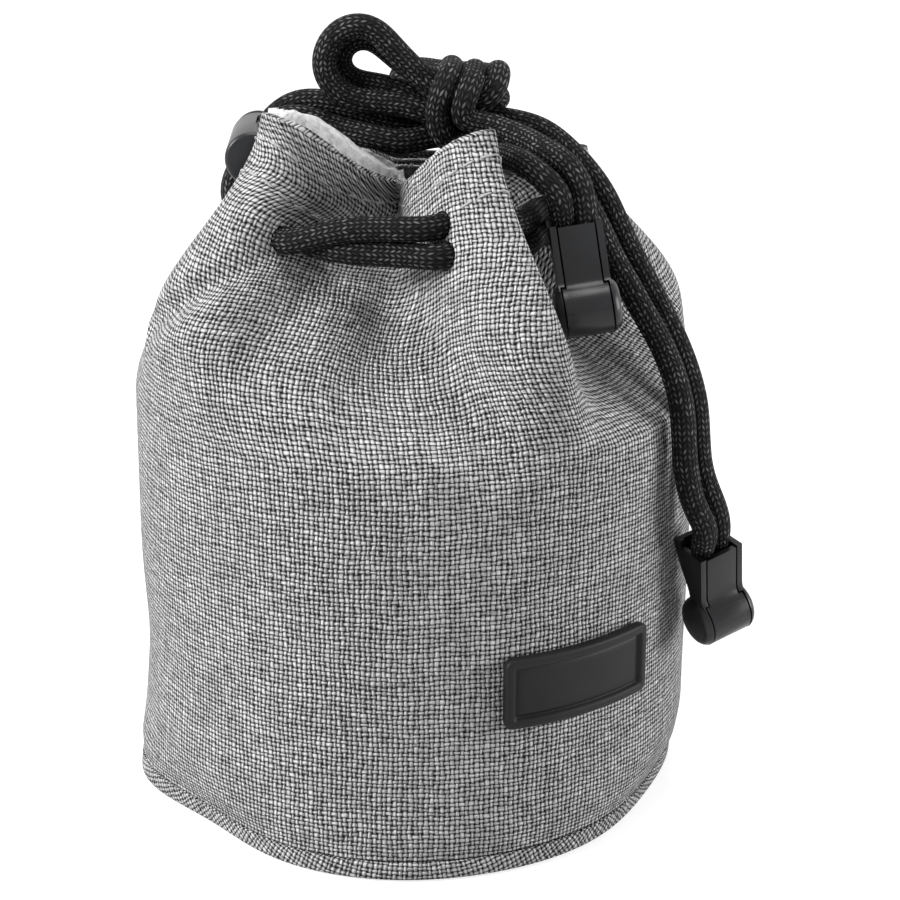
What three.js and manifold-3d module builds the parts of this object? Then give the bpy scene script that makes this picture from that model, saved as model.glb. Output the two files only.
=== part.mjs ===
// A padded drawstring pouch for a camera lens, drawn shut, with its cords tied over the mouth.
// Millimetres and degrees, +Z up. The base rests on z = 0, and angles run from the front (-Y) towards +X.

import * as THREE from 'three';
import { mergeVertices } from 'three/addons/utils/BufferGeometryUtils.js';
import Module from 'manifold-3d';

// Fit between pieces that touch, and the finest step of a round face
const fit = 0.3;
const roundSides = 16;

// Body of the bag
const bodyRadius = 51;
const shoulderHeight = 75;
const seamHeight = 3.6;
const baseRoll = 4.5;
const clothThickness = 1;
const paddingThickness = 2;
const paddingShort = 3;
const paddingFade = 12;
const liningThickness = 2;
const boardThickness = 1.6;
const columns = 60;
const bodyRows = 1;
const neckRows = 9;
const steepest = 2;

// Mouth: four peaks of cloth stand up between the places where the cords pull it in
const valleyRimRadius = 12;
const valleyRimHeight = 113.5;
const valleyCurve = 1.65;
const peakRise = 14;
const peakRimRadius = 29.5;
const lowPeakRise = 3;
const lowPeakRimRadius = 33;
const peaks = [
  { angle: -61, before: 18, after: 18, rise: peakRise, rimRadius: peakRimRadius },
  { angle: 27, before: 21, after: 9, rise: peakRise, rimRadius: peakRimRadius },
  { angle: 106, before: 17, after: 20, rise: lowPeakRise, rimRadius: lowPeakRimRadius },
  { angle: 220, before: 13, after: 16, rise: peakRise, rimRadius: peakRimRadius },
];
const peakUpright = 0.3;
const sideFold = { angle: 62, spread: 22, curve: 1.55, drop: 5 };

// Cords: two go round the mouth, one above the other
const cordRadius = 2.2;
const cordSides = 8;
const strandGap = 0.35;
const strandPitch = 2 * cordRadius + strandGap;
const ringRadius = 30.5;
const ringHeight = 107.3;
const ringRise = 1.2;
const ringStep = 8;
const waySides = 12;
const neckCords = {
  left: { lift: -strandPitch / 2, exit: [240, 276] },
  back: { lift: strandPitch / 2, exit: [130, 202] },
};
const tucks = [
  { angle: -10, depth: 2, spread: 20 },
  { angle: 58, depth: 5, spread: 16 },
];
const backTuck = { angle: 259, depth: 4.3, spread: 11 };

// Rubber patch on the lower front
const patch = { angle: 34, width: 30, bottom: 28.5, height: 13, thickness: 1.8, border: 1.9, recess: 0.6 };

// Knot
const knotCentre = [11, 1.8, 126];
const knotTilt = 40;
const knotCoreRadius = 7.2;
const knotWrapRadius = 7.9;
const knotWrap = { from: -0.5, to: 0.3 };
const wrapStepsPerTurn = 14;

// Cord clips: a bell-shaped body open at the front, closed by a lid that is hinged at the bottom of the bell
const clipBellRadius = 4.7;
const clipBellWidth = 11.2;
const clipCheekDisc = 1.4;
const clipNeckWidth = 9;
const clipNeckTop = 14.4;
const clipNeckFront = -3.4;
const clipNeckBackTop = 4.6;
const clipNeckBackFoot = 1.6;
const clipLipHeight = 1.4;
const clipWall = 1.1;
const clipHinge = { y: -1.1, z: -3.3, pin: 0.55, socket: 0.9 };
const clips = [
  { name: 'clip_front', position: [29.6, -27, 96.5], turn: [-17, -9, 0] },
  { name: 'clip_side', position: [55, -20.5, 37.4], turn: [10, -9, 30] },
];

// Cord locks: a barrel with a cross hole, and a sprung plunger whose own cross hole grips the cords
const lockBarrelRadius = 4.8;
const lockBoreRadius = 3.9;
const lockEndWall = 1.2;
const lockRim = 1;
const lockEdge = 0.8;
const lockTravel = 2;
const lockPlungerWall = 1.4;
const lockCapRadius = 4.5;
const lockCapThickness = 1.6;
const springRoom = 3.8;
const springWire = 0.3;
const springRadius = 2.4;
const springTurns = 2;
const springSides = 5;
const springStepsPerTurn = 8;
const locks = [
  { name: 'lock_left', position: [-28.3, 6.3, 117], turn: [0, 35, 0] },
  { name: 'lock_back', position: [-2.8, 31.4, 116.3], turn: [0, 0, 0] },
];

// Free cords: each lead runs from the mouth through its lock to the knot, and each loop and tail starts at the knot.
// Points are chosen along the real route. The ends at the mouth and in a clip are added from those places.
const strands = {
  lead_left_back: [
    [-31.2, 10.8, 104.4], [-33.8, 8.6, 105.6], [-34.4, 8.5, 107.8], [-33.4, 8.7, 109.8], [-31.7, 8.7, 112.1],
    [-28.3, 8.7, 117], [-24.9, 8.7, 121.9], [-20.5, 8.4, 124.6], [-12, 6.9, 124.2], [-3, 5.4, 122.8], [5, 5, 122.3],
  ],
  lead_left_front: [
    [-31.6, 1.8, 105.2], [-32.7, 3.4, 107.2], [-33.1, 3.8, 109.4], [-31.7, 3.9, 112.1], [-28.3, 3.9, 117],
    [-24.9, 3.9, 121.9], [-20.5, 3.7, 122.9], [-12, 2.2, 120.6], [-3, 1.2, 119.6], [5, 0.8, 119.6],
  ],
  lead_back_inner: [
    [17, 25.2, 108.7], [10.5, 28.4, 108.7], [3.5, 29.4, 108.6], [-0.8, 29.2, 109], [-2.7, 29, 111],
    [-2.8, 29, 116], [-2.8, 29, 122], [-2.2, 27, 124.4], [1, 22.5, 126.2], [5.5, 15.5, 126], [10, 9.5, 124],
  ],
  lead_back_outer: [
    [-6, 32.2, 108.4], [-3.4, 33.9, 109], [-2.8, 33.8, 111.6], [-2.8, 33.8, 117], [-2.8, 33.8, 122.2],
    [-2.2, 33, 125.8], [1, 28.4, 129], [5.5, 21, 131], [10.5, 14, 131], [13, 10.5, 129],
  ],
  bow_loop_outer: [
    [7, 1.2, 130.5], [0.5, 1.5, 135.8], [-7, 1.8, 139], [-13.6, 2, 138], [-17, 2.2, 133.2],
    [-15.8, 1.9, 128.8], [-11, 1.6, 126.2], [-3, 1, 125.8], [4.5, 0.6, 125.6],
  ],
  bow_loop_inner: [
    [7.5, 8, 130], [0.5, 7.8, 134], [-6, 7.2, 136.2], [-11.4, 6.6, 135], [-13.2, 6, 131.6],
    [-11, 5.9, 129.4], [-4, 6, 128], [4, 6, 127.2],
  ],
  tail_short_left: [[11.3, -3.6, 118.2], [15.2, -11.5, 119.4], [18.4, -18.5, 119.8], [21.2, -22.8, 118.8]],
  tail_short_right: [[14.8, -3.2, 122.6], [19.3, -9.5, 121.8], [23.2, -15, 120.6], [26.6, -19.2, 119]],
  tail_long_left: [
    [17, 0.6, 120.2], [22.2, -5, 116.8], [25.4, -9.4, 115.4], [28.8, -13.4, 112.9], [32.3, -15, 106.9],
    [34.5, -15, 102.3], [36.9, -15.5, 98.3], [39.8, -17.5, 93.4], [43.8, -20.4, 86.5], [46.3, -24.9, 79.2],
    [47.4, -27.2, 67.2], [48.8, -27.4, 61.4],
  ],
  tail_long_right: [
    [19, 2.2, 124.8], [24.5, 0.4, 120], [28.9, -3.8, 116.8], [33, -8, 112.2], [37.2, -8.6, 103.6],
    [41, -10, 96.6], [44.2, -12, 90.8], [47.3, -15.5, 84.5], [49.5, -19, 77.3], [50.6, -22.4, 65.7],
  ],
};
const knotBend = [[9, 8, 131], [14, 5.5, 133], [18, 2.5, 131], [18.8, 1, 126.5], [15.5, 0, 122]];
const strandStep = 5;
const clipStrands = { left: [-2.1, -2.4], right: [2.1, -0.2] };
const endRun = 2.5;

const colours = {
  cloth: { color: 0x8f8f92, roughness: 0.95, metalness: 0 },
  plush: { color: 0xe4e4e4, roughness: 1, metalness: 0 },
  foam: { color: 0xc9c9c4, roughness: 1, metalness: 0 },
  board: { color: 0x5c5c60, roughness: 0.8, metalness: 0 },
  rubber: { color: 0x242427, roughness: 0.7, metalness: 0 },
  cord: { color: 0x1f1f22, roughness: 0.85, metalness: 0 },
  plastic: { color: 0x303136, roughness: 0.45, metalness: 0 },
  spring: { color: 0xb4b6ba, roughness: 0.35, metalness: 0.9 },
};

const wasm = await Module();
wasm.setup();

const radians = THREE.MathUtils.degToRad;
const vector = (point) => new THREE.Vector3(...point);

// A point at an angle round the bag's axis
function polar(angle, radius, height) {
  const turn = radians(angle);
  return new THREE.Vector3(radius * Math.sin(turn), -radius * Math.cos(turn), height);
}

// Merges shared corners and drops empty faces, so that the geometry is one closed body
function closed(geometry) {
  const bare = geometry.clone();
  bare.deleteAttribute('normal');
  bare.deleteAttribute('uv');
  const merged = mergeVertices(bare, 1e-3);
  const corners = merged.index.array;
  const kept = [];
  for (let i = 0; i < corners.length; i += 3) {
    const [a, b, c] = corners.slice(i, i + 3);
    if (a !== b && b !== c && c !== a) kept.push(a, b, c);
  }
  merged.setIndex(kept);
  return merged;
}

// The solid of a closed geometry, and the geometry of a solid
function solidOf(geometry) {
  const body = closed(geometry);
  const vertProperties = new Float32Array(body.attributes.position.array);
  const triVerts = new Uint32Array(body.index.array);
  return new wasm.Manifold(new wasm.Mesh({ numProp: 3, vertProperties, triVerts }));
}

function geometryOf(solid) {
  const mesh = solid.getMesh();
  const geometry = new THREE.BufferGeometry();
  geometry.setAttribute('position', new THREE.BufferAttribute(mesh.vertProperties, 3));
  geometry.setIndex(new THREE.BufferAttribute(mesh.triVerts, 1));
  return geometry;
}

const joined = (first, ...others) => others.reduce((body, other) => body.add(other), first);
const cut = (body, ...tools) => tools.reduce((left, tool) => left.subtract(tool), body);

// A ring-shaped solid from rings of points: each ring is joined to the next, and the last to the first
function loopSolid(rings) {
  const count = rings[0].length;
  const position = rings.flat().flatMap((point) => point.toArray());
  const index = [];
  rings.forEach((ring, row) => {
    const above = ((row + 1) % rings.length) * count;
    ring.forEach((point, column) => {
      const beside = (column + 1) % count;
      const [a, b, c, d] = [row * count + column, row * count + beside, above + beside, above + column];
      index.push(a, b, c, a, c, d);
    });
  });
  const geometry = new THREE.BufferGeometry();
  geometry.setAttribute('position', new THREE.Float32BufferAttribute(position, 3));
  geometry.setIndex(index);
  return geometry;
}

// A solid between an outside and an inside skin, each given as rings of points from the bottom up
function shellSolid(outside, inside) {
  const rows = outside.length;
  const count = outside[0].length;
  const position = [...outside, ...inside].flat().flatMap((point) => point.toArray());
  const at = (side, row, column) => (side * rows + row) * count + (column % count);
  const index = [];
  const quad = (a, b, c, d) => index.push(a, b, c, a, c, d);
  for (let column = 0; column < count; column += 1) {
    const next = column + 1;
    for (let row = 0; row + 1 < rows; row += 1) {
      quad(at(0, row, column), at(0, row, next), at(0, row + 1, next), at(0, row + 1, column));
      quad(at(1, row, column), at(1, row + 1, column), at(1, row + 1, next), at(1, row, next));
    }
    quad(at(0, rows - 1, column), at(0, rows - 1, next), at(1, rows - 1, next), at(1, rows - 1, column));
    quad(at(0, 0, next), at(0, 0, column), at(1, 0, column), at(1, 0, next));
  }
  const geometry = new THREE.BufferGeometry();
  geometry.setAttribute('position', new THREE.Float32BufferAttribute(position, 3));
  geometry.setIndex(index);
  return geometry;
}

// A turned solid about Z from [radius, height] points, and one about Y
function turnedAboutY(points, sides) {
  return new THREE.LatheGeometry(points.map(([radius, along]) => new THREE.Vector2(radius, along)), sides);
}

function turned(points, sides) {
  return turnedAboutY(points, sides).rotateX(Math.PI / 2);
}

// A tube along a curve
function tube(curve, radius, sides, steps) {
  const section = new THREE.Shape();
  for (let side = 0; side < sides; side += 1) {
    const turn = (2 * Math.PI * side) / sides;
    const corner = [radius * Math.cos(turn), radius * Math.sin(turn)];
    if (side === 0) section.moveTo(...corner);
    else section.lineTo(...corner);
  }
  section.closePath();
  return new THREE.ExtrudeGeometry(section, { steps, extrudePath: curve, curveSegments: 1 });
}

const route = (points) => new THREE.CatmullRomCurve3(points, false, 'centripetal');

// A side outline in the YZ plane, extruded along X to a width about the middle
const sideways = new THREE.Matrix4().makeBasis(
  new THREE.Vector3(0, 1, 0),
  new THREE.Vector3(0, 0, 1),
  new THREE.Vector3(1, 0, 0),
);

function extrudedAcross(shape, width) {
  const options = { depth: width, bevelEnabled: false, curveSegments: roundSides / 2 };
  return new THREE.ExtrudeGeometry(shape, options).translate(0, 0, -width / 2).applyMatrix4(sideways);
}

function outline(points) {
  return new THREE.Shape(points.map(([x, y]) => new THREE.Vector2(x, y)));
}

// How far the cloth stands up as each of the peaks at an angle, from 0 in a valley to 1 on the peak
const turnBetween = (angle, other) => THREE.MathUtils.euclideanModulo(angle - other + 180, 360) - 180;

function peakShares(angle) {
  return peaks.map((peak) => {
    const away = turnBetween(angle, peak.angle);
    const spread = away < 0 ? peak.before : peak.after;
    return Math.exp(-((away / spread) ** 2));
  });
}

// How near an angle is to the middle of a fold or a tuck, from 1 in its middle down to 0
const nearness = (angle, place) => Math.exp(-((turnBetween(angle, place.angle) / place.spread) ** 2));

// How far the neck is folded in at the side, where the tails come down
const foldShare = (angle) => nearness(angle, sideFold);

function rimHeight(angle) {
  const shares = peakShares(angle);
  const raised = peaks.reduce((sum, peak, i) => sum + peak.rise * shares[i], 0);
  return valleyRimHeight + raised - sideFold.drop * foldShare(angle);
}

// The outside of the neck at a share of the way from the shoulder to the rim
function neckRadius(angle, share) {
  const plain = share ** valleyCurve;
  const folded = 1 - (1 - share) ** sideFold.curve;
  const drawn = plain + (folded - plain) * foldShare(angle);
  const valley = bodyRadius - (bodyRadius - valleyRimRadius) * drawn;
  const upright = THREE.MathUtils.smoothstep(share, peakUpright, 1);
  const shares = peakShares(angle);
  return peaks.reduce((radius, peak, i) => {
    const crest = bodyRadius - (bodyRadius - peak.rimRadius) * upright;
    return radius + (crest - valley) * shares[i];
  }, valley);
}

// One row of the wall's surface, drawn in by an inset. Rows count up the body, then the neck.
// Where the cloth folds steeply, the inset is drawn out along the radius so that the cloth keeps its thickness.
function wallRow(row, bottom, inset) {
  const ring = [];
  for (let column = 0; column < columns; column += 1) {
    const angle = (360 * column) / columns;
    const share = Math.max(0, (row - bodyRows) / neckRows);
    const rise = Math.min(1, row / bodyRows);
    const bodyHeight = bottom + (shoulderHeight - bottom) * rise;
    const height = bodyHeight + (rimHeight(angle) - shoulderHeight) * share;
    const radius = neckRadius(angle, share);
    const change = (neckRadius(angle + 1, share) - neckRadius(angle - 1, share)) / radians(2) / radius;
    const stretch = Math.min(steepest, Math.hypot(1, change));
    ring.push(polar(angle, radius - inset(height) * stretch, height));
  }
  return ring;
}

function wallShell(bottom, outerInset, thickness) {
  const rows = Array.from({ length: bodyRows + neckRows + 1 }, (_, row) => row);
  const outside = rows.map((row) => wallRow(row, bottom, outerInset));
  const inside = rows.map((row) => wallRow(row, bottom, (height) => outerInset(height) + thickness));
  return shellSolid(outside, inside);
}

// A point on the way that the cords take round the mouth, a little higher at the front.
// Being taut, they cut across the front valley and the side fold, closer in than a circle.
function ringPoint(angle, outward, lift) {
  const height = ringHeight + ringRise * Math.cos(radians(angle)) + lift;
  const inward = tucks.reduce((sum, tuck) => sum + tuck.depth * nearness(angle, tuck), 0);
  return polar(angle, ringRadius - inward + outward, height);
}

// The room that both cords need where they go through the cloth
function cordWay() {
  const radius = cordRadius + strandGap;
  const rings = [];
  for (let side = 0; side < waySides; side += 1) {
    const turn = (2 * Math.PI * (side + 0.5)) / waySides;
    const lift = (Math.sign(Math.sin(turn)) * strandPitch) / 2;
    const ring = [];
    for (let column = 0; column < columns; column += 1) {
      const angle = (360 * column) / columns;
      ring.push(ringPoint(angle, radius * Math.cos(turn), lift + radius * Math.sin(turn)));
    }
    rings.push(ring);
  }
  return loopSolid(rings);
}

const way = solidOf(cordWay());
const clothInset = () => 0;
const liningInset = (height) => {
  const padded = 1 - THREE.MathUtils.smoothstep(height, shoulderHeight, shoulderHeight + paddingFade);
  return clothThickness + fit + (paddingThickness + fit) * padded;
};
const liningBodyRadius = bodyRadius - liningInset(0);
const boardBottom = clothThickness + fit;
const liningBaseBottom = boardBottom + boardThickness + fit;
const liningBottom = liningBaseBottom + liningThickness + fit;

function outerWall() {
  return geometryOf(cut(solidOf(wallShell(seamHeight + fit, clothInset, clothThickness)), way));
}

function liningWall() {
  return geometryOf(cut(solidOf(wallShell(liningBottom, liningInset, liningThickness)), way));
}

// The base panel: a shallow pan whose edge rolls up to the seam
function outerBase() {
  const roll = (inset) => {
    const edge = bodyRadius - inset;
    return new THREE.QuadraticBezierCurve(
      new THREE.Vector2(bodyRadius - baseRoll, inset),
      new THREE.Vector2(edge, inset),
      new THREE.Vector2(edge, seamHeight),
    ).getPoints(3).map((point) => [point.x, point.y]);
  };
  return turned([[0, 0], ...roll(0), ...roll(clothThickness).reverse(), [0, clothThickness]], columns);
}

function disc(radius, bottom, thickness) {
  const top = bottom + thickness;
  return turned([[0, bottom], [radius, bottom], [radius, top], [0, top]], columns);
}

function wallPadding() {
  const outer = bodyRadius - clothThickness - fit;
  const inner = outer - paddingThickness;
  const bottom = seamHeight + fit;
  const top = shoulderHeight - paddingShort;
  return turned([[inner, bottom], [outer, bottom], [outer, top], [inner, top], [inner, bottom]], columns);
}

// A plate that follows the wall round the bag
function curvedPlate(inner, outer, width, bottom, height) {
  const half = width / 2 / bodyRadius;
  const middle = radians(patch.angle - 90);
  const shape = new THREE.Shape();
  shape.absarc(0, 0, outer, middle - half, middle + half, false);
  shape.absarc(0, 0, inner, middle + half, middle - half, true);
  const options = { depth: height, bevelEnabled: false, curveSegments: roundSides / 2 };
  return new THREE.ExtrudeGeometry(shape, options).translate(0, 0, bottom);
}

function labelPatch() {
  const inner = bodyRadius + fit;
  const outer = inner + patch.thickness;
  const plate = curvedPlate(inner, outer, patch.width, patch.bottom, patch.height);
  const field = curvedPlate(
    outer - patch.recess,
    outer + patch.recess,
    patch.width - 2 * patch.border,
    patch.bottom + patch.border,
    patch.height - 2 * patch.border,
  );
  return geometryOf(cut(solidOf(plate), solidOf(field)));
}

// The cords round the mouth, each open where its two ends leave. The back cord is tucked in behind the left lead.
const arc = (length) => THREE.MathUtils.radToDeg(length / ringRadius);

function neckCord({ lift, exit }) {
  const start = exit[1] + arc(2 * fit);
  const span = exit[0] - arc(2 * fit) + 360 - start;
  const count = Math.round(span / ringStep);
  const points = [];
  for (let i = 0; i <= count; i += 1) {
    const angle = (start + (span * i) / count) % 360;
    const inward = lift > 0 ? backTuck.depth * nearness(angle, backTuck) : 0;
    points.push(ringPoint(angle, -inward, lift));
  }
  return tube(route(points), cordRadius, cordSides, count);
}

const leadExits = {
  lead_left_back: [neckCords.left, 0],
  lead_left_front: [neckCords.left, 1],
  lead_back_inner: [neckCords.back, 0],
  lead_back_outer: [neckCords.back, 1],
};

// The first points of a lead, in line with the cord that it goes on from
function outOfMouth({ lift, exit }, end) {
  const onward = end === 0 ? arc(endRun) : -arc(endRun);
  return [ringPoint(exit[end], 0, lift), ringPoint(exit[end] + onward, 0, lift)];
}

// The place of a clip or a lock, as a group that its pieces stand in
function placed({ position, turn }) {
  const group = new THREE.Group();
  group.position.set(...position);
  group.rotation.set(...turn.map(radians));
  group.updateMatrix();
  return group;
}

const clipGroups = Object.fromEntries(clips.map((clip) => [clip.name, placed(clip)]));
const lockGroups = Object.fromEntries(locks.map((lock) => [lock.name, placed(lock)]));

// The last points of a strand, straight down into a clip's mouth
function intoClip(clipName, side) {
  const [x, y] = clipStrands[side];
  const mouth = clipNeckTop + fit;
  return [mouth + 2 * endRun, mouth].map((z) => new THREE.Vector3(x, y, z).applyMatrix4(clipGroups[clipName].matrix));
}

const clipEnds = {
  tail_short_left: ['clip_front', 'left'],
  tail_short_right: ['clip_front', 'right'],
  tail_long_left: ['clip_side', 'left'],
  tail_long_right: ['clip_side', 'right'],
};

function strandPoints(name) {
  const points = strands[name].map(vector);
  if (leadExits[name]) points.unshift(...outOfMouth(...leadExits[name]));
  if (clipEnds[name]) points.push(...intoClip(...clipEnds[name]));
  return points;
}

function strandTube(name) {
  const curve = route(strandPoints(name));
  return tube(curve, cordRadius, cordSides, Math.round(curve.getLength() / strandStep));
}

// The room for a strand in the knot: as long as the strand, with a fit at both ends
function strandSocket(name) {
  const points = strandPoints(name);
  const lengthened = (end, before) => end.clone().addScaledVector(end.clone().sub(before).normalize(), fit);
  points[0] = lengthened(points[0], points[1]);
  points.push(lengthened(points.at(-1), points.at(-2)));
  const curve = route(points);
  return tube(curve, cordRadius + fit, cordSides, Math.round(curve.getLength() / strandStep));
}

// The knot: the left pair wraps round the pair that makes the bow, with a socket for each strand that leaves it
function cordKnot() {
  const centre = vector(knotCentre);
  const along = new THREE.Vector3(Math.cos(radians(knotTilt)), 0, -Math.sin(radians(knotTilt)));
  const towards = new THREE.Vector3(0, -1, 0);
  const upwards = new THREE.Vector3().crossVectors(along, towards).normalize().negate();
  const wrap = (offset) => {
    const count = Math.round((knotWrap.to - knotWrap.from) * wrapStepsPerTurn);
    const points = [];
    for (let i = 0; i <= count; i += 1) {
      const turns = knotWrap.from + ((knotWrap.to - knotWrap.from) * i) / count;
      const turn = 2 * Math.PI * turns;
      points.push(
        centre.clone()
          .addScaledVector(along, offset + turns * 2 * strandPitch)
          .addScaledVector(upwards, knotWrapRadius * Math.cos(turn))
          .addScaledVector(towards, knotWrapRadius * Math.sin(turn)),
      );
    }
    return solidOf(tube(route(points), cordRadius, cordSides, count));
  };
  const core = new THREE.SphereGeometry(knotCoreRadius, roundSides, roundSides / 2).translate(...knotCentre);
  const bend = tube(route(knotBend.map(vector)), cordRadius, cordSides, knotBend.length * 2);
  const body = joined(solidOf(core), wrap(-strandPitch / 2), wrap(strandPitch / 2), solidOf(bend));
  const sockets = Object.keys(strands).map((name) => solidOf(strandSocket(name)));
  return geometryOf(cut(body, ...sockets));
}

// A round bar along X, at a place in the YZ plane
function barAcross(radius, width, y, z) {
  return new THREE.CylinderGeometry(radius, radius, width, roundSides)
    .rotateZ(Math.PI / 2)
    .translate(0, y, z);
}

const boxAt = (low, high) => {
  const size = high.map((value, axis) => value - low[axis]);
  const middle = high.map((value, axis) => (value + low[axis]) / 2);
  return new THREE.BoxGeometry(...size).translate(...middle);
};

const clipGapWidth = clipBellWidth - 2 * clipCheekDisc;
const clipInside = clipNeckWidth - 2 * clipWall;
const clipLidRadius = clipBellRadius - 0.5 * fit;
const clipLidFoot = clipHinge.y + fit;
const clipLidFootHeight = -Math.sqrt(clipLidRadius ** 2 - clipLidFoot ** 2);
const clipFootReach = Math.hypot(clipLidFoot - clipHinge.y, clipLidFootHeight - clipHinge.z);
const clipLidShoulder = Math.sqrt(clipLidRadius ** 2 - clipNeckFront ** 2);
const clipLidInner = clipNeckFront + clipWall;

// The clip's body: back, two cheeks and the two round ends of the bell
function clipBody() {
  const lipFront = clipNeckBackTop - 1.5 * clipWall;
  const neck = extrudedAcross(outline([
    [clipNeckFront, 0],
    [clipNeckFront, clipNeckTop],
    [lipFront, clipNeckTop],
    [lipFront, clipNeckTop + clipLipHeight],
    [clipNeckBackTop, clipNeckTop + clipLipHeight],
    [clipNeckBackTop, clipNeckTop],
    [clipNeckBackFoot, clipBellRadius - clipWall],
    [clipNeckBackFoot, 0],
  ]), clipNeckWidth);
  const bell = barAcross(clipBellRadius, clipBellWidth, 0, 0);
  const far = 2 * clipNeckTop;
  const neckSpace = extrudedAcross(outline([
    [-far, 0],
    [-far, far],
    [clipNeckBackTop - clipWall, far],
    [clipNeckBackTop - clipWall, clipNeckTop],
    [clipNeckBackFoot - clipWall, clipBellRadius - clipWall],
    [clipNeckBackFoot - clipWall, 0],
  ]), clipInside);
  const bellSpace = barAcross(clipBellRadius - clipWall, clipGapWidth, 0, 0);
  const lidSpace = boxAt(
    [-clipGapWidth / 2, -far, -far],
    [clipGapWidth / 2, clipHinge.y + clipFootReach + fit, clipLidShoulder + fit],
  );
  const hingeSockets = barAcross(
    clipHinge.pin + fit,
    clipGapWidth + 2 * clipHinge.socket,
    clipHinge.y,
    clipHinge.z,
  );
  const body = joined(solidOf(neck), solidOf(bell));
  return geometryOf(cut(body, ...[neckSpace, bellSpace, lidSpace, hingeSockets].map(solidOf)));
}

// The lid: a plate between the cheeks that swells over the front of the bell, with a hinge pin at its foot
function clipLid() {
  const swell = new THREE.Shape();
  const inner = clipLidRadius - clipWall;
  const start = Math.PI - Math.acos(-clipNeckFront / clipLidRadius);
  const end = 2 * Math.PI - Math.acos(clipLidFoot / clipLidRadius);
  swell.absarc(0, 0, clipLidRadius, start, end, false);
  swell.absarc(0, 0, inner, end, start, true);
  const plate = boxAt(
    [-clipInside / 2 + fit, clipNeckFront, clipLidShoulder - clipWall],
    [clipInside / 2 - fit, clipLidInner, clipNeckTop - fit],
  );
  const pin = barAcross(clipHinge.pin, clipGapWidth + 2 * (clipHinge.socket - fit), clipHinge.y, clipHinge.z);
  const parts = [extrudedAcross(swell, clipGapWidth - 2 * fit), plate, pin];
  return geometryOf(joined(...parts.map(solidOf)));
}

// The two cord ends, pressed together in the neck, with their stop knot in the bell
function clipCordEnds() {
  const stop = Math.hypot(clipHinge.y, clipHinge.z) - clipFootReach - fit;
  const low = [-clipInside / 2 + 2 * fit, clipLidInner + fit, 0];
  const high = [-low[0], clipNeckBackFoot - clipWall - fit, clipNeckTop - fit];
  const knot = new THREE.SphereGeometry(stop, roundSides, roundSides / 2);
  return geometryOf(joined(solidOf(knot), solidOf(boxAt(low, high))));
}

// The slot for two cords that pass a lock side by side, with room for a plunger's travel
function lockSlot(room) {
  const half = strandPitch / 2;
  const radius = cordRadius + fit;
  const shape = new THREE.Shape();
  shape.absarc(0, half + room, radius, 0, Math.PI, false);
  shape.absarc(0, -half, radius, Math.PI, 2 * Math.PI, false);
  const options = { depth: 4 * lockBarrelRadius, bevelEnabled: false, curveSegments: roundSides / 2 };
  return new THREE.ExtrudeGeometry(shape, options).translate(0, 0, -2 * lockBarrelRadius);
}

const lockSlotHalf = strandPitch / 2 + cordRadius + fit;
const plungerInner = -lockSlotHalf - lockPlungerWall;
const barrelInner = plungerInner - springRoom;
const capInner = lockSlotHalf + lockTravel + lockPlungerWall;

function lockBarrel() {
  const mouth = Math.min(lockSlotHalf + lockRim, capInner - lockTravel - fit);
  const end = barrelInner - lockEndWall;
  const profile = [
    [0, end],
    [lockBarrelRadius - lockEdge, end],
    [lockBarrelRadius, end + lockEdge],
    [lockBarrelRadius, mouth],
    [lockBoreRadius, mouth],
    [lockBoreRadius, barrelInner],
    [0, barrelInner],
  ];
  return geometryOf(cut(solidOf(turnedAboutY(profile, roundSides)), solidOf(lockSlot(0))));
}

function lockPlunger() {
  const radius = lockBoreRadius - fit;
  const cap = capInner + lockCapThickness;
  const profile = [
    [0, plungerInner],
    [radius, plungerInner],
    [radius, capInner],
    [lockCapRadius, capInner],
    [lockCapRadius, cap - lockEdge],
    [lockCapRadius - lockEdge, cap],
    [0, cap],
  ];
  return geometryOf(cut(solidOf(turnedAboutY(profile, roundSides)), solidOf(lockSlot(lockTravel))));
}

// The coil spring between the barrel's closed end and the plunger
function lockSpring() {
  const low = barrelInner + fit + springWire;
  const high = plungerInner - fit - springWire;
  const count = springTurns * springStepsPerTurn;
  const points = [];
  for (let i = 0; i <= count; i += 1) {
    const turn = (2 * Math.PI * i) / springStepsPerTurn;
    const along = low + ((high - low) * i) / count;
    points.push(new THREE.Vector3(springRadius * Math.cos(turn), along, springRadius * Math.sin(turn)));
  }
  let least = Infinity;
  points.forEach((point, i) => {
    points.slice(i + springStepsPerTurn / 2).forEach((other) => {
      least = Math.min(least, point.distanceTo(other) - 2 * springWire);
    });
  });
  console.log(`lock spring: least gap between turns ${least.toFixed(2)} mm`);
  return tube(route(points), springWire, springSides, count);
}

const pouch = new THREE.Group();
const finishes = Object.fromEntries(
  Object.entries(colours).map(([name, finish]) => [name, new THREE.MeshStandardMaterial(finish)]),
);

function add(name, geometry, finish, group = pouch) {
  const mesh = new THREE.Mesh(closed(geometry), finishes[finish].clone());
  mesh.name = name;
  group.add(mesh);
}

add('outer_wall', outerWall(), 'cloth');
add('outer_base', outerBase(), 'cloth');
add('lining_wall', liningWall(), 'plush');
add('lining_base', disc(liningBodyRadius - fit, liningBaseBottom, liningThickness), 'plush');
add('wall_padding', wallPadding(), 'foam');
add('base_board', disc(bodyRadius - baseRoll - fit, boardBottom, boardThickness), 'board');
add('label_patch', labelPatch(), 'rubber');

add('neck_cord_left', neckCord(neckCords.left), 'cord');
add('neck_cord_back', neckCord(neckCords.back), 'cord');
Object.keys(strands).forEach((name) => add(name, strandTube(name), 'cord'));
add('cord_knot', cordKnot(), 'cord');

clips.forEach(({ name }) => {
  const group = clipGroups[name];
  add(`${name}_body`, clipBody(), 'plastic', group);
  add(`${name}_lid`, clipLid(), 'plastic', group);
  add(`${name}_cord_ends`, clipCordEnds(), 'cord', group);
  pouch.add(group);
});

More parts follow.
